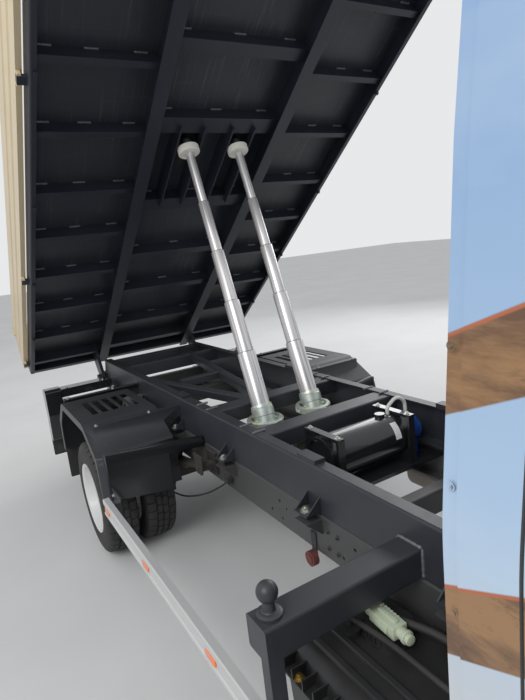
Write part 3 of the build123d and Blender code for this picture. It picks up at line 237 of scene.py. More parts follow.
def rubber(name, base, dust, amount):
    """Dull rubber with dust on it, thicker on what faces up."""
    skin = Finish(name)
    film = (skin.noise(5.0, 5.0, 0.7).over(0.4, 0.75) * amount +
            skin.facing_up().over(0.1, 1.0) * amount * 0.6).clamp()
    skin.set("Base_Color", skin.mix(film, base, dust))
    skin.set("Roughness", (film * 0.2 + 0.66).clamp())
    skin.bump(skin.noise(240.0, 2.0), 0.16, 0.0005)
    return skin.mat


def ram_tube():
    """Satin tube whose long dark and pale streaks are painted reflections, with fine lines along
    it; white cap, then the dark ball, on stage 1.
    """
    skin = Finish("ram_chrome")
    ahead, above = skin.x - RAM_FOOT.x, skin.z - RAM_FOOT.z
    along = above * math.cos(RAM_LEAN) - ahead * math.sin(RAM_LEAN)
    across = ahead * math.cos(RAM_LEAN) + above * math.sin(RAM_LEAN)
    cap = along.over(CAP_AT - 0.0006, CAP_AT - 0.0004)
    ball = along.over(CAP_TOP + 0.0002, CAP_TOP + 0.0005)

    def streaks(scale, drag, low, high):
        place = skin.node("ShaderNodeCombineXYZ", 0, {0: across, 1: skin.y, 2: along * drag})
        fac = skin.node("ShaderNodeTexNoise", "Fac", {"Vector": place, "Scale": scale,
                                                      "Detail": 2.0, "Roughness": 0.5})
        return fac.over(low, high)

    # The tube's colour runs pale to dark in long streaks along its length: painted reflections,
    # mixed with the fine lines along it.
    lines = streaks(230.0, 0.008, 0.42, 0.62)
    reflections_and_lines = (streaks(75.0, 0.01, 0.44, 0.6) * 0.5 + lines * 0.35 +
             streaks(14.0, 0.25, 0.5, 0.8) * 0.2).clamp()
    tube = skin.mix(reflections_and_lines, (0.84, 0.83, 0.83), (0.36, 0.335, 0.32))
    white = skin.mix(skin.noise(30.0).over(0.5, 0.8) * 0.35, (0.80, 0.78, 0.70), (0.52, 0.49, 0.42))
    skin.set("Base_Color", skin.mix(ball, skin.mix(cap, tube, white), (0.06, 0.06, 0.065)))
    skin.set("Metallic", ((1 - cap) * 0.62 + ball * 0.8).clamp())
    skin.set("Roughness", (reflections_and_lines * 0.1 + 0.3 + cap * 0.2).clamp())
    skin.bump(lines, 0.04, 0.0002)
    return skin.mat


def zinc_coat():
    """Yellow-green passivated zinc: pale, with cloudy bluish and straw patches."""
    skin = Finish("zinc", Metallic=0.55)
    cloud = skin.noise(14.0, 4.0, 0.6)
    straw = skin.mix(cloud.over(0.5, 0.68), (0.56, 0.62, 0.56), (0.62, 0.60, 0.38))
    pale = skin.mix(skin.noise(33.0, 3.0).over(0.45, 0.62) * 0.6, straw, (0.70, 0.77, 0.74))
    skin.set("Base_Color", pale)
    skin.set("Roughness", (cloud * 0.2 + 0.26).clamp())
    skin.bump(skin.noise(70.0, 3.0), 0.2, 0.0006)
    return skin.mat


def guide_bush():
    """Dull red rubber bush on a black strap that comes down from the rail."""
    skin = Finish("red_rubber")
    dirt = skin.noise(60.0, 4.0, 0.7).over(0.4, 0.7)
    bush = skin.mix(dirt * 0.6, (0.15, 0.035, 0.028), (0.07, 0.045, 0.036))
    strap = skin.z.over(0.530, 0.532)
    skin.set("Base_Color", skin.mix(strap, bush, (0.03, 0.03, 0.032)))
    skin.set("Roughness", (dirt * 0.2 + 0.55).clamp())
    skin.bump(dirt, 0.3, 0.001)
    return skin.mat


def lamp_sections():
    """Lens in three fields across: white, red and amber, with upright flutes."""
    skin = Finish("lamp_plastic", Roughness=0.16, Coat_Weight=0.6)
    far = abs(skin.y)
    field = skin.mix(far.over(0.812, 0.813), (0.75, 0.75, 0.74), (0.42, 0.012, 0.01))
    field = skin.mix(far.over(0.885, 0.886), field, (0.85, 0.22, 0.012))
    joint = (far.over(0.809, 0.811) * (1 - far.over(0.814, 0.816)) +
             far.over(0.882, 0.884) * (1 - far.over(0.887, 0.889))).clamp()
    skin.set("Base_Color", skin.mix(joint, field, (0.03, 0.03, 0.03)))
    skin.bump(abs((skin.y * 900).wave()) + abs((skin.z * 420).wave()) * 0.5, 0.35, 0.0012)
    return skin.mat


def lamp_glass():
    """Clear cover over a dark housing with two round reflectors a side."""
    skin = Finish("lamp_clear", Roughness=0.08, Coat_Weight=1.0)
    far = abs(skin.y)
    colour = skin.mix(skin.noise(8.0).over(0.4, 0.7) * 0.4, (0.10, 0.105, 0.11), (0.2, 0.21, 0.22))
    for y, z, r in ((0.700, 0.955, 0.046), (0.806, 0.965, 0.050)):
        gap = ((far - y) ** 2 + (skin.z - z) ** 2) ** 0.5
        colour = skin.mix(1 - gap.over(r - 0.001, r + 0.001), colour, (0.56, 0.57, 0.58))
        colour = skin.mix(1 - gap.over(r * 0.3, r * 0.32), colour, (0.36, 0.37, 0.38))
    skin.set("Base_Color", colour)
    return skin.mat


def cab_film():
    """Printed film: sky blue above, pale haze below, plain slanting wood-toned bands behind."""
    skin = Finish("cab_paint", Coat_Weight=0.3)
    cloud = skin.noise(1.3, 4.0, 0.55, stretch=(1, 1, 1.8))
    sky = skin.mix(skin.z.over(1.25, 2.15), (0.40, 0.53, 0.68), (0.19, 0.33, 0.56))
    sky = skin.mix(cloud.over(0.5, 0.7) * 0.4, sky, (0.62, 0.68, 0.74))
    base = skin.mix(skin.z.over(0.85, 1.3), (0.62, 0.58, 0.52), sky)
    slant = skin.z - (skin.x - 1.3) * 0.42
    grain = skin.noise(9.0, 6.0, 0.72, stretch=(0.35, 1, 1.6), turn=(0, 0.4, 0))
    knots = skin.noise(26.0, 5.0, 0.8, stretch=(0.5, 1, 1)).over(0.56, 0.7)
    wood = skin.mix(grain.over(0.4, 0.6), (0.30, 0.165, 0.075), (0.13, 0.068, 0.035))
    wood = skin.mix(knots * 0.6, wood, (0.05, 0.03, 0.02))

    def stripe(low, high):
        return slant.over(low, low + 0.003) * (1 - slant.over(high, high + 0.003))

    edge = (stripe(1.594, 1.600) + stripe(1.219, 1.225)).clamp()
    band = ((stripe(1.485, 1.600) + stripe(1.105, 1.225)) *
            (1 - skin.x.over(1.60, 1.62))).clamp()
    wood = skin.mix(edge, wood, (0.42, 0.12, 0.05))
    colour = skin.mix(band, base, wood)
    grime = ((1 - skin.z.over(0.6, 1.05)) * skin.noise(9.0, 4.0).over(0.35, 0.75) * 0.4).clamp()
    specks = skin.noise(130.0, 2.0, 0.7).over(0.72, 0.8) * 0.3
    colour = skin.mix((grime + specks).clamp(), colour, (0.30, 0.27, 0.23))
    lining = skin.facing(CAB_CENTRE) < 0.0
    skin.set("Base_Color", skin.mix(lining, colour, (0.17, 0.17, 0.165)))
    skin.set("Roughness", (skin.noise(5.0) * 0.14 + grime * 0.3 + lining * 0.35 + 0.26).clamp())
    skin.bump(skin.noise(1.8, 2.0), 0.05, 0.004)
    return skin.mat


def load_floor():
    """Bed floor: dark paint scored along its length by loads, rubbed to grey in patches."""
    skin = Finish("load_floor")
    scores = skin.noise(90.0, 4.0, 0.7, stretch=(0.03, 1, 0.03)).over(0.56, 0.68)
    cross = skin.noise(70.0, 3.0, 0.7, stretch=(1, 0.05, 1)).over(0.62, 0.72)
    rubbed = skin.noise(1.7, 5.0, 0.6).over(0.4, 0.7)
    mark = ((scores * 0.7 + cross * 0.4) * (rubbed * 0.8 + 0.15)).clamp()
    skin.set("Base_Color", skin.mix(mark, (0.030, 0.033, 0.042), (0.20, 0.19, 0.18)))
    skin.set("Roughness", (mark * 0.2 + rubbed * 0.1 + 0.38).clamp())
    skin.set("Metallic", (mark * 0.4).clamp())
    skin.bump(mark, 0.2, 0.0006)
    return skin.mat


def pane(name, tint, alpha):
    """See-through glass, a little cloudier where it is dirty."""
    skin = Finish(name, Base_Color=tint, IOR=1.5)
    dirt = skin.noise(4.0, 5.0, 0.7).over(0.5, 0.85)
    skin.set("Alpha", (dirt * 0.12 + alpha).clamp())
    skin.set("Roughness", (dirt * 0.12 + 0.02).clamp())
    skin.mat.surface_render_method = "BLENDED"
    return skin.mat


def weave(name, dark, light):
    """Plain woven cover with a faint rib."""
    skin = Finish(name, Roughness=0.9)
    rows = ((skin.x * 2600).wave() * (skin.y * 2600).wave() * 0.5 + 0.5).clamp()
    rib = ((skin.y * 420).wave() * 0.5 + 0.5).clamp()
    skin.set("Base_Color", skin.mix((rows * 0.6 + rib * 0.3).clamp(), dark, light))
    skin.bump(rows + rib * 1.5, 0.4, 0.0006)
    return skin.mat


# Materials by slot, then those of pieces that differ from their slot's own.
DUST = (0.16, 0.145, 0.12)
GREY_DUST = (0.12, 0.12, 0.122)
M = {
    "frame_paint": worn("frame_paint", (0.026, 0.029, 0.036), GREY_DUST, 0.32, 0.38),
    "bed_paint": worn("bed_paint", (0.017, 0.020, 0.031), (0.10, 0.10, 0.11), 0.22, 0.40),
    "board_paint": worn("board_paint", (0.66, 0.54, 0.34), (0.36, 0.30, 0.2), 0.3, 0.42,
                        coat=0.2),
    "black_paint": worn("black_paint", (0.012, 0.0125, 0.015), GREY_DUST, 0.16, 0.2, coat=0.6),
    "blue_paint": worn("blue_paint", (0.012, 0.075, 0.36), (0.08, 0.11, 0.2), 0.2, 0.2, coat=0.7),
    "black_plastic": worn("black_plastic", (0.016, 0.0165, 0.018), (0.11, 0.105, 0.095), 0.22, 0.36,
                          grain=180.0),
    "axle_iron": worn("axle_iron", (0.026, 0.0235, 0.021), DUST, 0.6, 0.62),
    "exhaust_steel": worn("exhaust_steel", (0.36, 0.33, 0.3), (0.2, 0.11, 0.06), 0.7, 0.45, 0.8),
    "zinc": zinc_coat(),
    "ram_chrome": ram_tube(),
    "guard_aluminium": brushed("guard_aluminium", (0.66, 0.66, 0.65), 0.42, (0.03, 1, 1), 0.45),
    "lamp_plastic": lamp_sections(),
    "lamp_clear": lamp_glass(),
    "tyre": rubber("tyre", (0.014, 0.014, 0.0145), (0.10, 0.092, 0.078), 0.36),
    "hose_rubber": rubber("hose_rubber", (0.014, 0.014, 0.015), (0.10, 0.095, 0.085), 0.3),
    "red_rubber": guide_bush(),
    "white_hose": plain("white_hose", (0.66, 0.66, 0.62), 0.4),
    "rim_steel": worn("rim_steel", (0.66, 0.66, 0.65), (0.26, 0.23, 0.18), 0.35, 0.34, coat=0.2),
    "seat_fabric": weave("seat_fabric", (0.03, 0.03, 0.035), (0.1, 0.1, 0.115)),
    "cab_paint": cab_film(),
    "glass": pane("glass", (0.05, 0.06, 0.06), 0.34),
}
EXTRA = {
    "bolt_steel": brushed("bolt_steel", (0.62, 0.61, 0.55), 0.3, (1, 1, 1), 0.9),
    "rail_paint": worn("rail_paint", (0.056, 0.056, 0.057), (0.14, 0.137, 0.13), 0.3, 0.4),
    "weld": worn("weld", (0.15, 0.155, 0.17), (0.3, 0.29, 0.28), 0.4, 0.35, 0.3),
    "fender": worn("fender", (0.027, 0.029, 0.034), GREY_DUST, 0.3, 0.42, grain=140.0),
    "load_floor": load_floor(),
    "seal": rubber("seal", (0.01, 0.01, 0.011), (0.05, 0.045, 0.04), 0.3),
    "amber_lens": plain("amber_lens", (0.95, 0.2, 0.015), 0.16, coat=0.7),
    "white_lens": plain("white_lens", (0.8, 0.82, 0.82), 0.15, coat=0.7),
    "black_gasket": rubber("black_gasket", (0.012, 0.012, 0.013), (0.08, 0.075, 0.07), 0.3),
    "mirror_glass": plain("mirror_glass", (0.7, 0.73, 0.75), 0.08, 1.0),
    "connector": plain("connector", (0.52, 0.58, 0.43), 0.45, grain=300.0),
    "bare_label": plain("bare_label", (0.8, 0.8, 0.77), 0.5),
    "yellow_zinc": brushed("yellow_zinc", (0.72, 0.55, 0.2), 0.35, (1, 1, 1), 0.9),
}
for name, node in NODES.items():
    node.data.materials.clear()
    node.data.materials.append(M[SLOTS[name]])
for name, finish in (("chassis_rails", "rail_paint"), ("bed_floor", "load_floor")):
    NODES[name].data.materials[0] = EXTRA[finish]

def towards(point, normal, spin=0.0):
    """Place at a point whose Z looks along a normal."""
    turn = Vector(normal).to_track_quat("Z", "Y").to_matrix().to_4x4()
    return Matrix.Translation(point) @ turn @ Matrix.Rotation(spin, 4, "Z")


def piece(name, bm, material, body, smooth=32.0):
    """Makes the bmesh an object of the scene that rides on a body of the truck."""
    bmesh.ops.remove_doubles(bm, verts=bm.verts, dist=1e-6)
    bmesh.ops.recalc_face_normals(bm, faces=bm.faces)
    mesh = bpy.data.meshes.new(name)
    bm.to_mesh(mesh)
    bm.free()
    mesh.shade_smooth()
    mesh.set_sharp_from_angle(angle=math.radians(smooth))
    obj = bpy.data.objects.new(name, mesh)
    bpy.context.collection.objects.link(obj)
    mesh.materials.append(material)
    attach(obj, body)
    return obj


def stamp(bm, form, place):
    """Adds a copy of a form, at a place, to the mesh being made."""
    start = len(bm.verts)
    bm.from_mesh(form)
    bm.verts.ensure_lookup_table()
    bmesh.ops.transform(bm, matrix=place, verts=bm.verts[start:])


def stamped(name, form, places, material, body, smooth=32.0):
    """One piece of many copies of a form."""
    bm = bmesh.new()
    for place in places:
        stamp(bm, form, place)
    return piece(name, bm, material, body, smooth)


def as_form(bm):
    """The mesh being made, kept as a form to stamp."""
    form = bpy.data.meshes.new("form")
    bm.to_mesh(form)
    bm.free()
    return form


def round_bar(bm, r, depth, base=0.0, segments=24, r2=None):
    """Capped round bar along Z from base; returns its vertices."""
    return bmesh.ops.create_cone(bm, cap_ends=True, segments=segments, radius1=r,
                                 radius2=r if r2 is None else r2, depth=depth,
                                 matrix=Matrix.Translation((0, 0, base + depth / 2)))["verts"]


def soften(bm, width, segments=2, sharper=30.0):
    """Bevels every edge that turns by more than an angle."""
    edges = [e for e in bm.edges if e.is_manifold and e.calc_face_angle() > math.radians(sharper)]
    bmesh.ops.bevel(bm, geom=edges, offset=width, segments=segments, profile=0.5,
                    affect="EDGES", material=-1, clamp_overlap=True)


def hex_bolt(r, h):
    """Washer and six-sided head, standing on the XY plane."""
    bm = bmesh.new()
    round_bar(bm, 1.55 * r, 0.28 * h, segments=20)
    round_bar(bm, r, h, 0.26 * h, segments=6, r2=0.96 * r)
    round_bar(bm, 0.55 * r, 0.35 * h, 1.2 * h, segments=10, r2=0.48 * r)
    return as_form(bm)


def slab(bm, low, high, place=None):
    """Box between two corners; returns its vertices."""
    low, high = Vector(low), Vector(high)
    matrix = Matrix.Translation((low + high) / 2) @ Matrix.Diagonal((*(high - low), 1))
    if place is not None:
        matrix = place @ matrix
    return bmesh.ops.create_cube(bm, size=1, matrix=matrix)["verts"]


def pulled(bm, faces, way):
    """Extrudes faces by a vector into a solid."""
    raised = bmesh.ops.extrude_face_region(bm, geom=faces)["geom"]
    bmesh.ops.translate(bm, vec=way, verts=[v for v in raised if isinstance(v, bmesh.types.BMVert)])


def loop_of(bm, points):
    """Closed ring of edges through points."""
    verts = [bm.verts.new(p) for p in points]
    return [bm.edges.new(pair) for pair in zip(verts, verts[1:] + verts[:1])]


def spun(bm, profile, centre, axis, steps):
    """Spins a closed (radius, along) profile once round an axis through centre."""
    axis = Vector(axis)
    out = axis.orthogonal().normalized()
    edges = loop_of(bm, [Vector(centre) + out * r + axis * a for r, a in profile])
    bmesh.ops.spin(bm, geom=edges + list({v for e in edges for v in e.verts}), cent=centre,
                   axis=axis, angle=math.tau, steps=steps, use_merge=True)


# Tyres: a closed section with four ribs, spun round the hub, with slots sunk into the ribs.
HALF_TYRE = ((0.2036, 0.0790), (0.2080, 0.0862), (0.2140, 0.0905), (0.2215, 0.0925),
             (0.2230, 0.0945), (0.2270, 0.0955), (0.2420, 0.0970), (0.2600, 0.0979),
             (0.2770, 0.0979), (0.2782, 0.0970), (0.2828, 0.0970), (0.2840, 0.0976),
             (0.2990, 0.0955), (0.3140, 0.0920), (0.3270, 0.0865), (0.3365, 0.0785),
             (0.3405, 0.0710), (0.3435, 0.0410), (0.3360, 0.0395), (0.3360, 0.0330),
             (0.3442, 0.0315), (0.3449, 0.0045), (0.3375, 0.0035))
TYRE_STEPS, SLOT_EVERY, SLOT_LIP, SLOT_DEPTH = 190, 5, 0.0016, 0.0055
SHOULDER_R, SHOULDER_FROM, SHOULDER_TO = 0.33, 0.042, 0.087
RIB_R, RIB_FROM, RIB_TO = 0.344, 0.006, 0.03


def tyre_form():
    """One tyre round Y; every few steps a face of the shoulder or of a rib becomes a slot."""
    bm = bmesh.new()
    section = [(r, -a) for r, a in HALF_TYRE] + [(r, a) for r, a in reversed(HALF_TYRE)]
    spun(bm, section, (0, 0, 0), (0, 1, 0), TYRE_STEPS)
    bmesh.ops.remove_doubles(bm, verts=bm.verts, dist=1e-6)
    bmesh.ops.recalc_face_normals(bm, faces=bm.faces)
    slots = []
    for face in bm.faces:
        spot = face.calc_center_median()
        reach, across = math.hypot(spot.x, spot.z), abs(spot.y)
        step = math.floor(math.atan2(spot.z, spot.x) / math.tau * TYRE_STEPS) % SLOT_EVERY
        shoulder = reach > SHOULDER_R and SHOULDER_FROM < across < SHOULDER_TO
        rib = reach > RIB_R and RIB_FROM < across < RIB_TO
        if (shoulder and step == 0) or (rib and step == (2 if spot.y > 0 else 3)):
            slots.append(face)
    bmesh.ops.inset_region(bm, faces=slots, thickness=SLOT_LIP, depth=-SLOT_DEPTH,
                           use_even_offset=True, use_boundary=True)
    return as_form(bm)


def ring_of(count, r, y, side, centre, start=0.0):
    """Places round a wheel's face, each standing outwards."""
    spots = []
    for k in range(count):
        a = start + math.tau * k / count
        spots.append(towards(centre + Vector((r * math.cos(a), y, r * math.sin(a))),
                             (0, side, 0), a))
    return spots


NUTS, NUT_TURN = 8, 0.2
TREAD = tyre_form()
NUT, SMALL_NUT = hex_bolt(0.0125, 0.017), hex_bolt(0.0065, 0.006)
for name, side in (("left", 1), ("right", -1)):
    front = at(WHEELBASE, side * FRONT_Y, AXLE_Z)
    tyre = stamped("tread_front_" + name, TREAD, [Matrix.Translation(front)], M["tyre"],
                   "wheel_front_" + name, 30)
    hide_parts("tyre_front_" + name)
    twins = [Matrix.Translation(at(0, side * (TWIN_Y + off), AXLE_Z)) for off in
             (-TWIN_OFF, TWIN_OFF)]
    tyre = stamped("tread_rear_" + name, TREAD, twins, M["tyre"], "wheels_rear_" + name, 30)
    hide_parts("tyres_rear_" + name)
    stamped("nuts_front_" + name, NUT, ring_of(NUTS, 0.087, side * 0.062, side, front, NUT_TURN),
            EXTRA["bolt_steel"], "wheel_front_" + name)
    rear = at(0, side * TWIN_Y, AXLE_Z)
    stamped("nuts_rear_" + name, NUT, ring_of(NUTS, 0.088, 0, side, rear, NUT_TURN),
            EXTRA["bolt_steel"], "wheels_rear_" + name)
    stamped("shaft_bolts_" + name, SMALL_NUT, ring_of(NUTS, 0.0615, side * 0.095, side, rear),
            EXTRA["bolt_steel"], "wheels_rear_" + name)


# Rams: nested tubes that step down to the capped ball, each with a wiper seal at its mouth.
def ram_piece(name, sections, material, body):
    """Sections spun round both rams' axes, as one piece."""
    bm = bmesh.new()
    for y in (-RAM_Y, RAM_Y):
        for section in sections:
            spun(bm, section, RAM @ Vector((0, y, 0)), RAM_AXIS, 48)
    return piece(name, bm, material, body, 30)


for k, r in enumerate(STAGE_R):
    top = MOUTH + (len(STAGE_R) - k) * STROKE
    low = top - OVERLAP
    if k == 0:
        ball = [(BALL_R * math.cos(a), BALL_AT + BALL_R * math.sin(a))
                for a in (-0.95, -0.6, -0.2, 0.2, 0.6, 1.0, 1.3)]
        section = [(CORE, low), (r, low), (r, COLLAR_AT), (0.030, COLLAR_AT + 0.0004),
                   (0.030, CAP_AT), (0.0585, CAP_AT), (0.062, CAP_AT + 0.0035),
                   (0.062, CAP_TOP - 0.0035), (0.0595, CAP_TOP), (0.019, CAP_TOP),
                   (0.0165, CAP_TOP + 0.004)] + ball + [(CORE, BALL_AT + BALL_R)]
    else:
        bore = STAGE_R[k - 1] + 0.0006
        section = [(bore, low), (r, low), (r, top - 0.0035), (r - 0.001, top - 0.0012),
                   (r - 0.0022, top - 0.0004), (bore + 0.0012, top - 0.0004),
                   (bore + 0.0012, top - 0.006), (bore, top - 0.008)]
        ring = [(bore + 0.0011, top - 0.005), (bore + 0.0011, top + 0.0006),
                (bore - 0.0002, top + 0.0022), (bore - 0.0004, top - 0.005)]
        ram_piece("ram_wiper_%d" % (k + 1), [ring], EXTRA["seal"], "ram_stage_%d" % (k + 1))
    tube = ram_piece("ram_tube_%d" % (k + 1), [section], M["ram_chrome"],
                     "ram_stage_%d" % (k + 1))
    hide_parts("ram_stage_%d" % (k + 1))
bm = bmesh.new()
BARREL = ((CORE, -0.300), (0.0520, -0.300), (0.0570, -0.295), (0.0570, 0.026), (0.0615, 0.030),
          (0.0615, 0.070), (0.0590, 0.0735), (0.0590, 0.083), (0.0570, 0.089), (0.0520, 0.089),
          (0.0506, 0.087), (0.0506, -0.290), (CORE, -0.290))
for y in (-RAM_Y, RAM_Y):
    spun(bm, BARREL, RAM @ Vector((0, y, 0)), RAM_AXIS, 56)
    for side in (-1, 1):
        pin = round_bar(bm, 0.012, 0.038, 0, 24)
        stand = RAM @ Matrix.Translation((0, y + side * 0.054, 0))
        bmesh.ops.transform(bm, matrix=stand @ Matrix.Rotation(-side * math.pi / 2, 4, "X"),
                            verts=pin)
barrels = piece("ram_barrel_pair", bm, M["zinc"], "ram_barrels", 30)
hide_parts("ram_barrels")


# Fenders: the source's shell, cut free of the strip between the lip's two feet.
bm = bmesh.new()
bm.from_mesh(NODES["rear_fenders"].data)
bmesh.ops.remove_doubles(bm, verts=bm.verts, dist=1e-5)
FEET, STRIP_TOP, STRIP_Y, NEAR = (-0.637 + SHIFT, 0.3845 + SHIFT), 0.4755, 0.983, 1e-4
for x in FEET:
    bmesh.ops.bisect_plane(bm, geom=bm.verts[:] + bm.edges[:] + bm.faces[:], plane_co=(x, 0, 0),
                           plane_no=(1, 0, 0), dist=1e-6)
strip = [f for f in bm.faces
         if all(FEET[0] - NEAR < v.co.x < FEET[1] + NEAR and v.co.z < STRIP_TOP
                and abs(v.co.y) > STRIP_Y for v in f.verts)]
bmesh.ops.delete(bm, geom=strip, context="FACES")
cut = [e for e in bm.edges if e.is_boundary
       and any(all(abs(v.co.x - x) < NEAR for v in e.verts) for x in FEET)]
bmesh.ops.holes_fill(bm, edges=cut, sides=0)
fenders = piece("fender_shells", bm, EXTRA["fender"], "chassis", 30)
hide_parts("rear_fenders")

# Fastenings of the frame, the fenders and the tanks.
BIG, MID = hex_bolt(0.011, 0.010), hex_bolt(0.0075, 0.007)
up, mid_places, rail_places, clamp_places = (0, 0, 1), [], [], []
for side in (1, -1):
    out = (0, side, 0)
    for x in (0.241, -0.535):
        mid_places += [towards(at(x, side * y, 0.856), up, y) for y in (0.62, 0.93)]
    for x in (0.47, 0.58):
        mid_places.append(towards(at(x, side * 0.946, 0.53), out, x))
    for x in (-1.40, 1.70, 2.60):
        rail_places += [towards(at(x + dx, side * 0.433, z), out, dx * z) for dx in (-0.028, 0.028)
                       for z in (0.58, 0.65)]
    for x in (-1.14, -1.06):
        rail_places.append(towards(at(x, side * 0.433, 0.62), out, x))
    mid_places += [towards(at(-1.33, side * y, 0.758), up, y) for y in (0.50, 0.80)]
TIE, RIVET = hex_bolt(0.0152, 0.0125), hex_bolt(0.0045, 0.003)
tie_places = []
for x in (-1.1, -0.4, 0.257, 0.896, 1.6, 2.3):
    for y in (-0.4762, 0.4762):
        tie_places += [towards(at(x, y, 0.7263), up, x), towards(at(x, y, 0.6837), (0, 0, -1), x)]
stamped("tie_bolts", TIE, tie_places, EXTRA["bolt_steel"], "chassis")
for side in (1, -1):
    stamped("cab_rivets_" + ("left" if side > 0 else "right"), RIVET,
            [towards(at(2.716, side * y, z), (0, side, 0), z)
             for y, z in ((0.952, 0.80), (0.955, 1.0), (0.955, 1.2), (0.951, 1.4), (0.940, 1.6))],
            M["cab_paint"], "chassis")
for y in (-0.188, 0.232):
    clamp_places += [towards(at(x, y, 0.900), up, y) for x in (1.262, 1.460)]
stamped("frame_bolts", MID, mid_places, EXTRA["bolt_steel"], "chassis")
stamped("rail_bolts", MID, rail_places, EXTRA["rail_paint"], "chassis")
stamped("clamp_bolts", MID, clamp_places, M["zinc"], "chassis")
stamped("ledge_bolt", BIG, [towards(at(2.074, -0.862, 0.546), up, 0.4)], EXTRA["yellow_zinc"],
        "chassis")


BEAD_R = 0.0062
ON_END = Matrix.Rotation(math.pi / 2, 4, "Y")


def bead_form(length):
    """Rippled weld bead along X, half sunk in the corner that it fills."""
    bm = bmesh.new()
    bmesh.ops.create_cone(bm, cap_ends=True, segments=8, radius1=BEAD_R, radius2=BEAD_R,
                          depth=length, matrix=ON_END)
    long_edges = [e for e in bm.edges if abs(e.verts[0].co.x - e.verts[1].co.x) > length / 2]
    bmesh.ops.subdivide_edges(bm, edges=long_edges, cuts=16)
    for vert in bm.verts:
        wave = 1 + 0.16 * math.sin(vert.co.x * 1900) + 0.1 * math.sin(vert.co.x * 760)
        end = 1 - 0.6 * (abs(vert.co.x) > length * 0.49)
        vert.co.y *= wave * end
        vert.co.z *= wave * end
    return as_form(bm)


# Short weld beads where the bed's ribs meet its floor, and round the frame's members.
BEAD = bead_form(0.07)
ACROSS = Matrix.Rotation(math.pi / 2, 4, "Z")
SIDE_RIBS = (0.465, 0.855, 1.262, 1.660, 2.035, 2.447, 2.848, 3.250, 3.650)
MID_RIBS = ((0.487, 0.050), (0.960, 0.060), (1.395, 0.060), (1.905, 0.096), (2.511, 0.100),
            (2.965, 0.070), (3.400, 0.060), (3.800, 0.050))
RIB_FOOT = -0.0028
floor_beads = []
for s in SIDE_RIBS:
    floor_beads += [BED @ Matrix.Translation((s + 0.0115, y, RIB_FOOT)) @ ACROSS
                    for y in (-0.93, -0.723, -0.49, 0.49, 0.723, 0.93)]
for s, width in MID_RIBS:
    floor_beads += [BED @ Matrix.Translation((s + width / 2 - 0.0025, y, RIB_FOOT)) @ ACROSS
                    for y in (-0.30, 0.0, 0.30)]
stamped("floor_welds", BEAD, floor_beads, EXTRA["weld"], "bed", 60)
frame_beads = []
for x in (0.57, 1.075):
    for y in (-0.39, 0.39):
        for x_side in (-0.061, 0.061):
            frame_beads.append(Matrix.Translation(at(x + x_side, y, 0.906)) @ ACROSS)
LONG_BEAD = bead_form(0.098)
arm_beads = []
for y in (-0.434, 0.434):
    arm_beads.append(Matrix.Translation(at(2.103, y, 0.8125)))
    arm_beads += [Matrix.Translation(at(x, y, 0.762)) @ ON_END for x in (2.0525, 2.1535)]
stamped("arm_welds", LONG_BEAD, arm_beads, EXTRA["weld"], "chassis", 60)
stamped("frame_welds", BEAD, frame_beads, EXTRA["weld"], "chassis", 60)

# Oval side reflectors in the guards, and blank number plates.
bm = bmesh.new()
OVAL_R, OVAL_STRETCH, OVAL_PROUD = 0.017, 0.022, 0.0048
bmesh.ops.create_circle(bm, cap_ends=True, segments=40, radius=OVAL_R)
for vert in bm.verts:
    vert.co.x += math.copysign(OVAL_STRETCH, vert.co.x) if abs(vert.co.x) > 1e-6 else 0
pulled(bm, bm.faces[:], (0, 0, OVAL_PROUD))
bmesh.ops.recalc_face_normals(bm, faces=bm.faces)
soften(bm, 0.0018, 2)
OVAL = as_form(bm)
ovals = []
for side in (1, -1):
    stand = Matrix.Rotation(-side * math.pi / 2, 4, "X")
    ovals += [Matrix.Translation(at(x, side * 1.017, 0.514)) @ stand
              for x in (0.60, 1.19, 1.81, 2.43)]
stamped("side_reflectors", OVAL, ovals, EXTRA["amber_lens"], "chassis")
bm = bmesh.new()
for low, high in (((4.7425, -0.26, 0.458), (4.7465, 0.26, 0.562)),
                  ((-1.5045, 0.20, 0.420), (-1.5005, 0.72, 0.520))):
    slab(bm, at(*low), at(*high))
bmesh.ops.recalc_face_normals(bm, faces=bm.faces)
soften(bm, 0.0012, 2)
piece("blank_plates", bm, EXTRA["bare_label"], "chassis")

# Fog lamps: a dished bowl behind a domed lens, spun round X.
bowl = bmesh.new()
lens = bmesh.new()
for side in (1, -1):
    centre = at(4.70, side * 0.69, 0.505)
    spun(bowl, ((0.0455, 0.026), (0.0455, -0.012), (0.030, -0.028), (0.012, -0.034),
                (0.0005, -0.034), (0.0005, -0.030), (0.012, -0.030), (0.028, -0.024),
                (0.0415, -0.009), (0.0415, 0.026)), centre, (1, 0, 0), 36)
    spun(lens, ((0.0405, 0.0), (0.0405, 0.010), (0.036, 0.016), (0.024, 0.021), (0.010, 0.0235),
                (0.0005, 0.024), (0.0005, 0.0)), centre, (1, 0, 0), 36)
piece("fog_bowls", bowl, M["black_plastic"], "chassis")
piece("fog_lenses", lens, EXTRA["white_lens"], "chassis")


# Sender ring's screws, its plug and connector, and the blank label round the oil tank.
bm = bmesh.new()
GRIPS = 28
for k in range(GRIPS):
    grip = Matrix.Translation(at(2.150, -0.580, 0)) @ Matrix.Rotation(math.tau * k / GRIPS, 4, "Z")
    slab(bm, (0.0725, -0.0022, 0.608), (0.0775, 0.0022, 0.630), grip)
    slab(bm, (0.0680, -0.0016, 0.630), (0.0745, 0.0016, 0.6335), grip)
piece("sender_grips", bm, M["black_plastic"], "chassis")
bm = bmesh.new()
place = Matrix.Translation(at(2.195, -0.609, 0.667)) @ Matrix.Rotation(math.radians(-4), 4, "Z")
slab(bm, (-0.074, -0.026, -0.020), (0.034, 0.024, 0.018), place)
slab(bm, (-0.104, -0.017, -0.022), (-0.066, 0.030, 0.008), place)
slab(bm, (-0.040, -0.032, -0.012), (0.010, -0.024, 0.010), place)
slab(bm, (-0.054, -0.008, 0.016), (0.020, 0.008, 0.025), place)
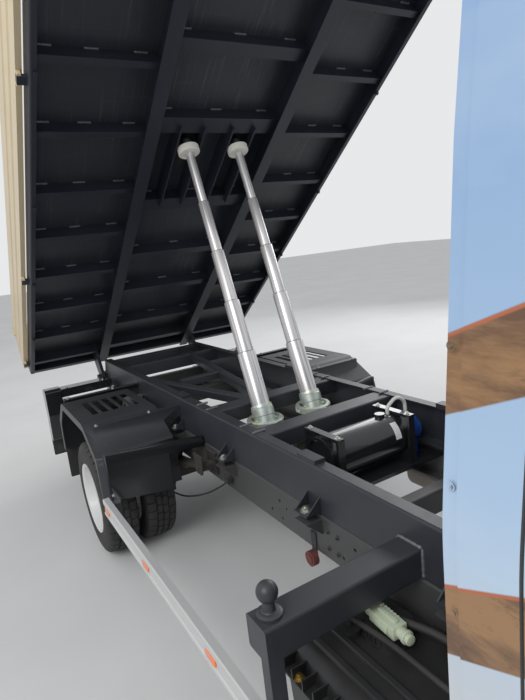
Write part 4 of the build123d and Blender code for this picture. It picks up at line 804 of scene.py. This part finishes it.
for k in range(6):
    slab(bm, (-0.066 + 0.013 * k, 0.008, 0.014), (-0.061 + 0.013 * k, 0.024, 0.021), place)
for r, x, length in ((0.0175, 0.030, 0.028), (0.0205, 0.054, 0.010), (0.0155, 0.062, 0.014)):
    verts = round_bar(bm, r, length, x, 24)
    bmesh.ops.transform(bm, matrix=place @ ON_END, verts=verts)
bmesh.ops.recalc_face_normals(bm, faces=bm.faces)
soften(bm, 0.0022, 2)
piece("sender_connector", bm, EXTRA["connector"], "chassis")
bm = bmesh.new()
tank, LABEL_R = at(1.36, 0, 0.78), 0.1046
line = [bm.verts.new(tank + Vector((LABEL_R, y, 0))) for y in (0.150, 0.186)]
bmesh.ops.rotate(bm, verts=line, cent=tank, matrix=Matrix.Rotation(math.radians(-8), 3, "Y"))
edge = bm.edges.new(line)
bmesh.ops.spin(bm, geom=line + [edge], cent=tank, axis=(0, 1, 0), angle=math.radians(-46), steps=12,
               use_merge=False)
piece("tank_label", bm, EXTRA["bare_label"], "chassis", 60)


# Seals round the panes: a rim inset from each pane's outer face, given a thickness.
SEAL_WIDTH, SEAL_PROUD = 0.013, 0.004


def seal(name, node, body, outward):
    """A seal for the faces of a glass node that outward picks."""
    bm = bmesh.new()
    bm.from_mesh(NODES[node].data)
    bmesh.ops.remove_doubles(bm, verts=bm.verts, dist=1e-5)
    bmesh.ops.recalc_face_normals(bm, faces=bm.faces)
    bmesh.ops.delete(bm, geom=[f for f in bm.faces if not outward(f)], context="FACES")
    rim = set(bmesh.ops.inset_region(bm, faces=list(bm.faces), thickness=SEAL_WIDTH, depth=0,
                                     use_even_offset=True, use_boundary=True)["faces"])
    bmesh.ops.delete(bm, geom=[f for f in bm.faces if f not in rim], context="FACES")
    bmesh.ops.solidify(bm, geom=list(bm.faces), thickness=-SEAL_PROUD)
    piece(name, bm, EXTRA["black_gasket"], body, 40)


for name, side in (("left", 1), ("right", -1)):
    seal("door_seal_" + name, "door_glass_" + name, "door_" + name,
         lambda f, side=side: f.normal.y * side > 0.7)
seal("screen_seals", "cab_glass", "chassis",
     lambda f: (f.normal.x > 0.6 and f.normal.z > 0.3) or f.normal.x < -0.8
     or (f.normal.y * f.calc_center_median().y > 0.4 and abs(f.normal.y) > 0.7))

# Mirror glasses behind the housings' rear faces, and parked wipers on the windscreen.
for name, side in (("left", 1), ("right", -1)):
    bm = bmesh.new()
    slab(bm, at(3.5722, side * 1.026, 1.42), at(3.5757, side * 1.172, 1.70))
    bmesh.ops.recalc_face_normals(bm, faces=bm.faces)
    upright = [e for e in bm.edges if abs(e.verts[0].co.x - e.verts[1].co.x) > 0.001]
    bmesh.ops.bevel(bm, geom=upright, offset=0.014, segments=5, profile=0.5, affect="EDGES",
                    material=-1)
    piece("mirror_" + name, bm, EXTRA["mirror_glass"], "door_" + name)
SCREEN_UP = Vector((-0.6397, 0, 0.7686))
SCREEN_OUT = Vector((0.7686, 0, 0.6397))
SCREEN = Matrix((SCREEN_UP, (0, -1, 0), SCREEN_OUT)).transposed().to_4x4()
SCREEN.translation = at(4.000, 0, 1.484) - SCREEN_OUT * 0.018
bm = bmesh.new()
PARKED = Matrix.Rotation(math.radians(84), 4, "Z")
for y in (0.58, -0.10):
    sweep = SCREEN @ Matrix.Translation((0.035, -y, 0)) @ PARKED
    slab(bm, (0.0, -0.007, 0.010), (0.36, 0.007, 0.016), sweep)
    slab(bm, (0.06, -0.003, 0.0005), (0.56, 0.003, 0.010), sweep)
    slab(bm, (0.30, -0.011, 0.008), (0.38, 0.011, 0.017), sweep)
    bmesh.ops.transform(bm, matrix=sweep, verts=round_bar(bm, 0.016, 0.020, 0.001, 20))
bmesh.ops.recalc_face_normals(bm, faces=bm.faces)
soften(bm, 0.0012, 2, 50)
piece("wipers", bm, EXTRA["black_gasket"], "chassis")


# Seats: each pad is swollen once by a short cloth run, then stands in its three places.
PRESSURE, CLOTH_FRAMES = 4.0, 20


def swollen(form, voxel, cap):
    """Remeshes a closed form, lets air pressure fill it, and holds each point within a cap."""
    obj = bpy.data.objects.new("pad", form)
    bpy.context.collection.objects.link(obj)
    net = obj.modifiers.new("net", "REMESH")
    net.mode, net.voxel_size = "VOXEL", voxel
    graph = bpy.context.evaluated_depsgraph_get()
    start = bpy.data.meshes.new_from_object(obj.evaluated_get(graph))
    obj.modifiers.clear()
    obj.data = start
    rest = [v.co.copy() for v in start.vertices]
    done = start
    cloth = obj.modifiers.new("air", "CLOTH")
    cloth.settings.use_pressure = True
    cloth.settings.uniform_pressure_force = PRESSURE
    cloth.settings.effector_weights.gravity = 0
    cloth.settings.quality = 4
    cloth.collision_settings.use_collision = False
    for frame_number in range(1, CLOTH_FRAMES + 1):
        bpy.context.scene.frame_set(frame_number)
    graph = bpy.context.evaluated_depsgraph_get()
    done = bpy.data.meshes.new_from_object(obj.evaluated_get(graph))
    for vert, home in zip(done.vertices, rest):
        move = vert.co - home
        if move.length > cap:
            vert.co = home + move.normalized() * cap
    bpy.context.scene.frame_set(1)
    bpy.data.objects.remove(obj)
    return done


def pad_form(outline, half, pinch):
    """Slab between two sides of a seat, its outline in X and Z, its long faces drawn in."""
    bm = bmesh.new()
    verts = [bm.verts.new(at(x, -half, z)) for x, z in outline]
    pulled(bm, [bm.faces.new(verts)], (0, 2 * half, 0))
    bmesh.ops.recalc_face_normals(bm, faces=bm.faces)
    soften(bm, pinch, 4)
    return as_form(bm)


# Each pad: its outline, half width and rounding, then the net's step and the swelling's cap.
PADS = {
    "cushions": (((2.942, 0.950), (2.942, 1.085), (3.360, 1.112), (3.388, 1.06), (3.384, 0.962)),
                 0.200, 0.035, 0.010, 0.011),
    "backrests": (((2.812, 1.075), (2.906, 1.075), (2.868, 1.685), (2.798, 1.685)),
                  0.200, 0.028, 0.010, 0.011),
    "headrests": (((2.800, 1.726), (2.862, 1.726), (2.854, 1.880), (2.796, 1.880)),
                  0.110, 0.022, 0.006, 0.007),
}
SEAT_PLACES = ((-0.590, 1.0), (-0.150, 1.0), (0.450, 1.09))
for name, (outline, half, pinch, voxel, cap) in PADS.items():
    form = swollen(pad_form(outline, half, pinch), voxel, cap)
    bm = bmesh.new()
    for y, wide in SEAT_PLACES:
        stamp(bm, form, Matrix.Translation((0, y, 0)) @ Matrix.Diagonal((1, wide, 1, 1)))
    pad = piece(name, bm, M["seat_fabric"], "chassis", 180)
    bulge = pad.modifiers.new("smooth", "SUBSURF")
    bulge.levels = bulge.render_levels = 1
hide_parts("seats")
bm = bmesh.new()
for y, wide in SEAT_PLACES:
    half = 0.215 * wide
    for low, high in (((2.96, y - half + 0.04, 0.7455), (3.33, y + half - 0.04, 0.962)),
                      ((2.80, y - half + 0.03, 1.00), (2.93, y + half - 0.03, 1.09))):
        slab(bm, at(*low), at(*high))
bmesh.ops.recalc_face_normals(bm, faces=bm.faces)
soften(bm, 0.012, 3)
rods = bmesh.new()
for y, wide in SEAT_PLACES:
    for dy in (-0.05, 0.05):
        verts = round_bar(rods, 0.007, 0.07, 0, 16)
        bmesh.ops.translate(rods, vec=at(2.83, y + dy, 1.675), verts=verts)
piece("seat_bases", bm, M["black_plastic"], "chassis")
piece("headrest_posts", rods, EXTRA["bolt_steel"], "chassis")

# Pale floor, even world, and two soft lamps.
bm = bmesh.new()
bmesh.ops.create_grid(bm, x_segments=1, y_segments=1, size=40)
floor_mesh = bpy.data.meshes.new("floor")
bm.to_mesh(floor_mesh)
bm.free()
floor = bpy.data.objects.new("floor", floor_mesh)
ground = Finish("floor", Roughness=0.85)
ground.set("Base_Color", ground.mix(ground.noise(0.9, 4.0).over(0.35, 0.7), (0.68, 0.68, 0.67),
                                    (0.63, 0.63, 0.62)))
floor_mesh.materials.append(ground.mat)
bpy.context.collection.objects.link(floor)

world = bpy.data.worlds.new("world")
world.use_nodes = True
tree = world.node_tree
even = tree.nodes["Background"]
even.inputs[0].default_value = (0.94, 0.96, 1.0, 1)
even.inputs[1].default_value = 0.70
seen = tree.nodes.new("ShaderNodeBackground")
seen.inputs[0].default_value = (0.80, 0.81, 0.82, 1)
path = tree.nodes.new("ShaderNodeLightPath")
either = tree.nodes.new("ShaderNodeMixShader")
tree.links.new(path.outputs["Is Camera Ray"], either.inputs[0])
tree.links.new(even.outputs[0], either.inputs[1])
tree.links.new(seen.outputs[0], either.inputs[2])
tree.links.new(either.outputs[0], tree.nodes["World Output"].inputs[0])
bpy.context.scene.world = world


LAMP_AIM, LAMP_SIZE = Vector((-0.5, 0, 0.8)), 5.0


def soft_lamp(name, place, power):
    """Square lamp at a place, turned to the truck's middle."""
    data = bpy.data.lights.new(name, "AREA")
    data.size, data.energy = LAMP_SIZE, power
    obj = bpy.data.objects.new(name, data)
    obj.location = place
    obj.rotation_euler = (LAMP_AIM - Vector(place)).to_track_quat("-Z", "Y").to_euler()
    bpy.context.collection.objects.link(obj)


soft_lamp("key", (3.5, -7.0, 6.5), 420)
soft_lamp("fill", (-4.5, 6.5, 5.0), 220)
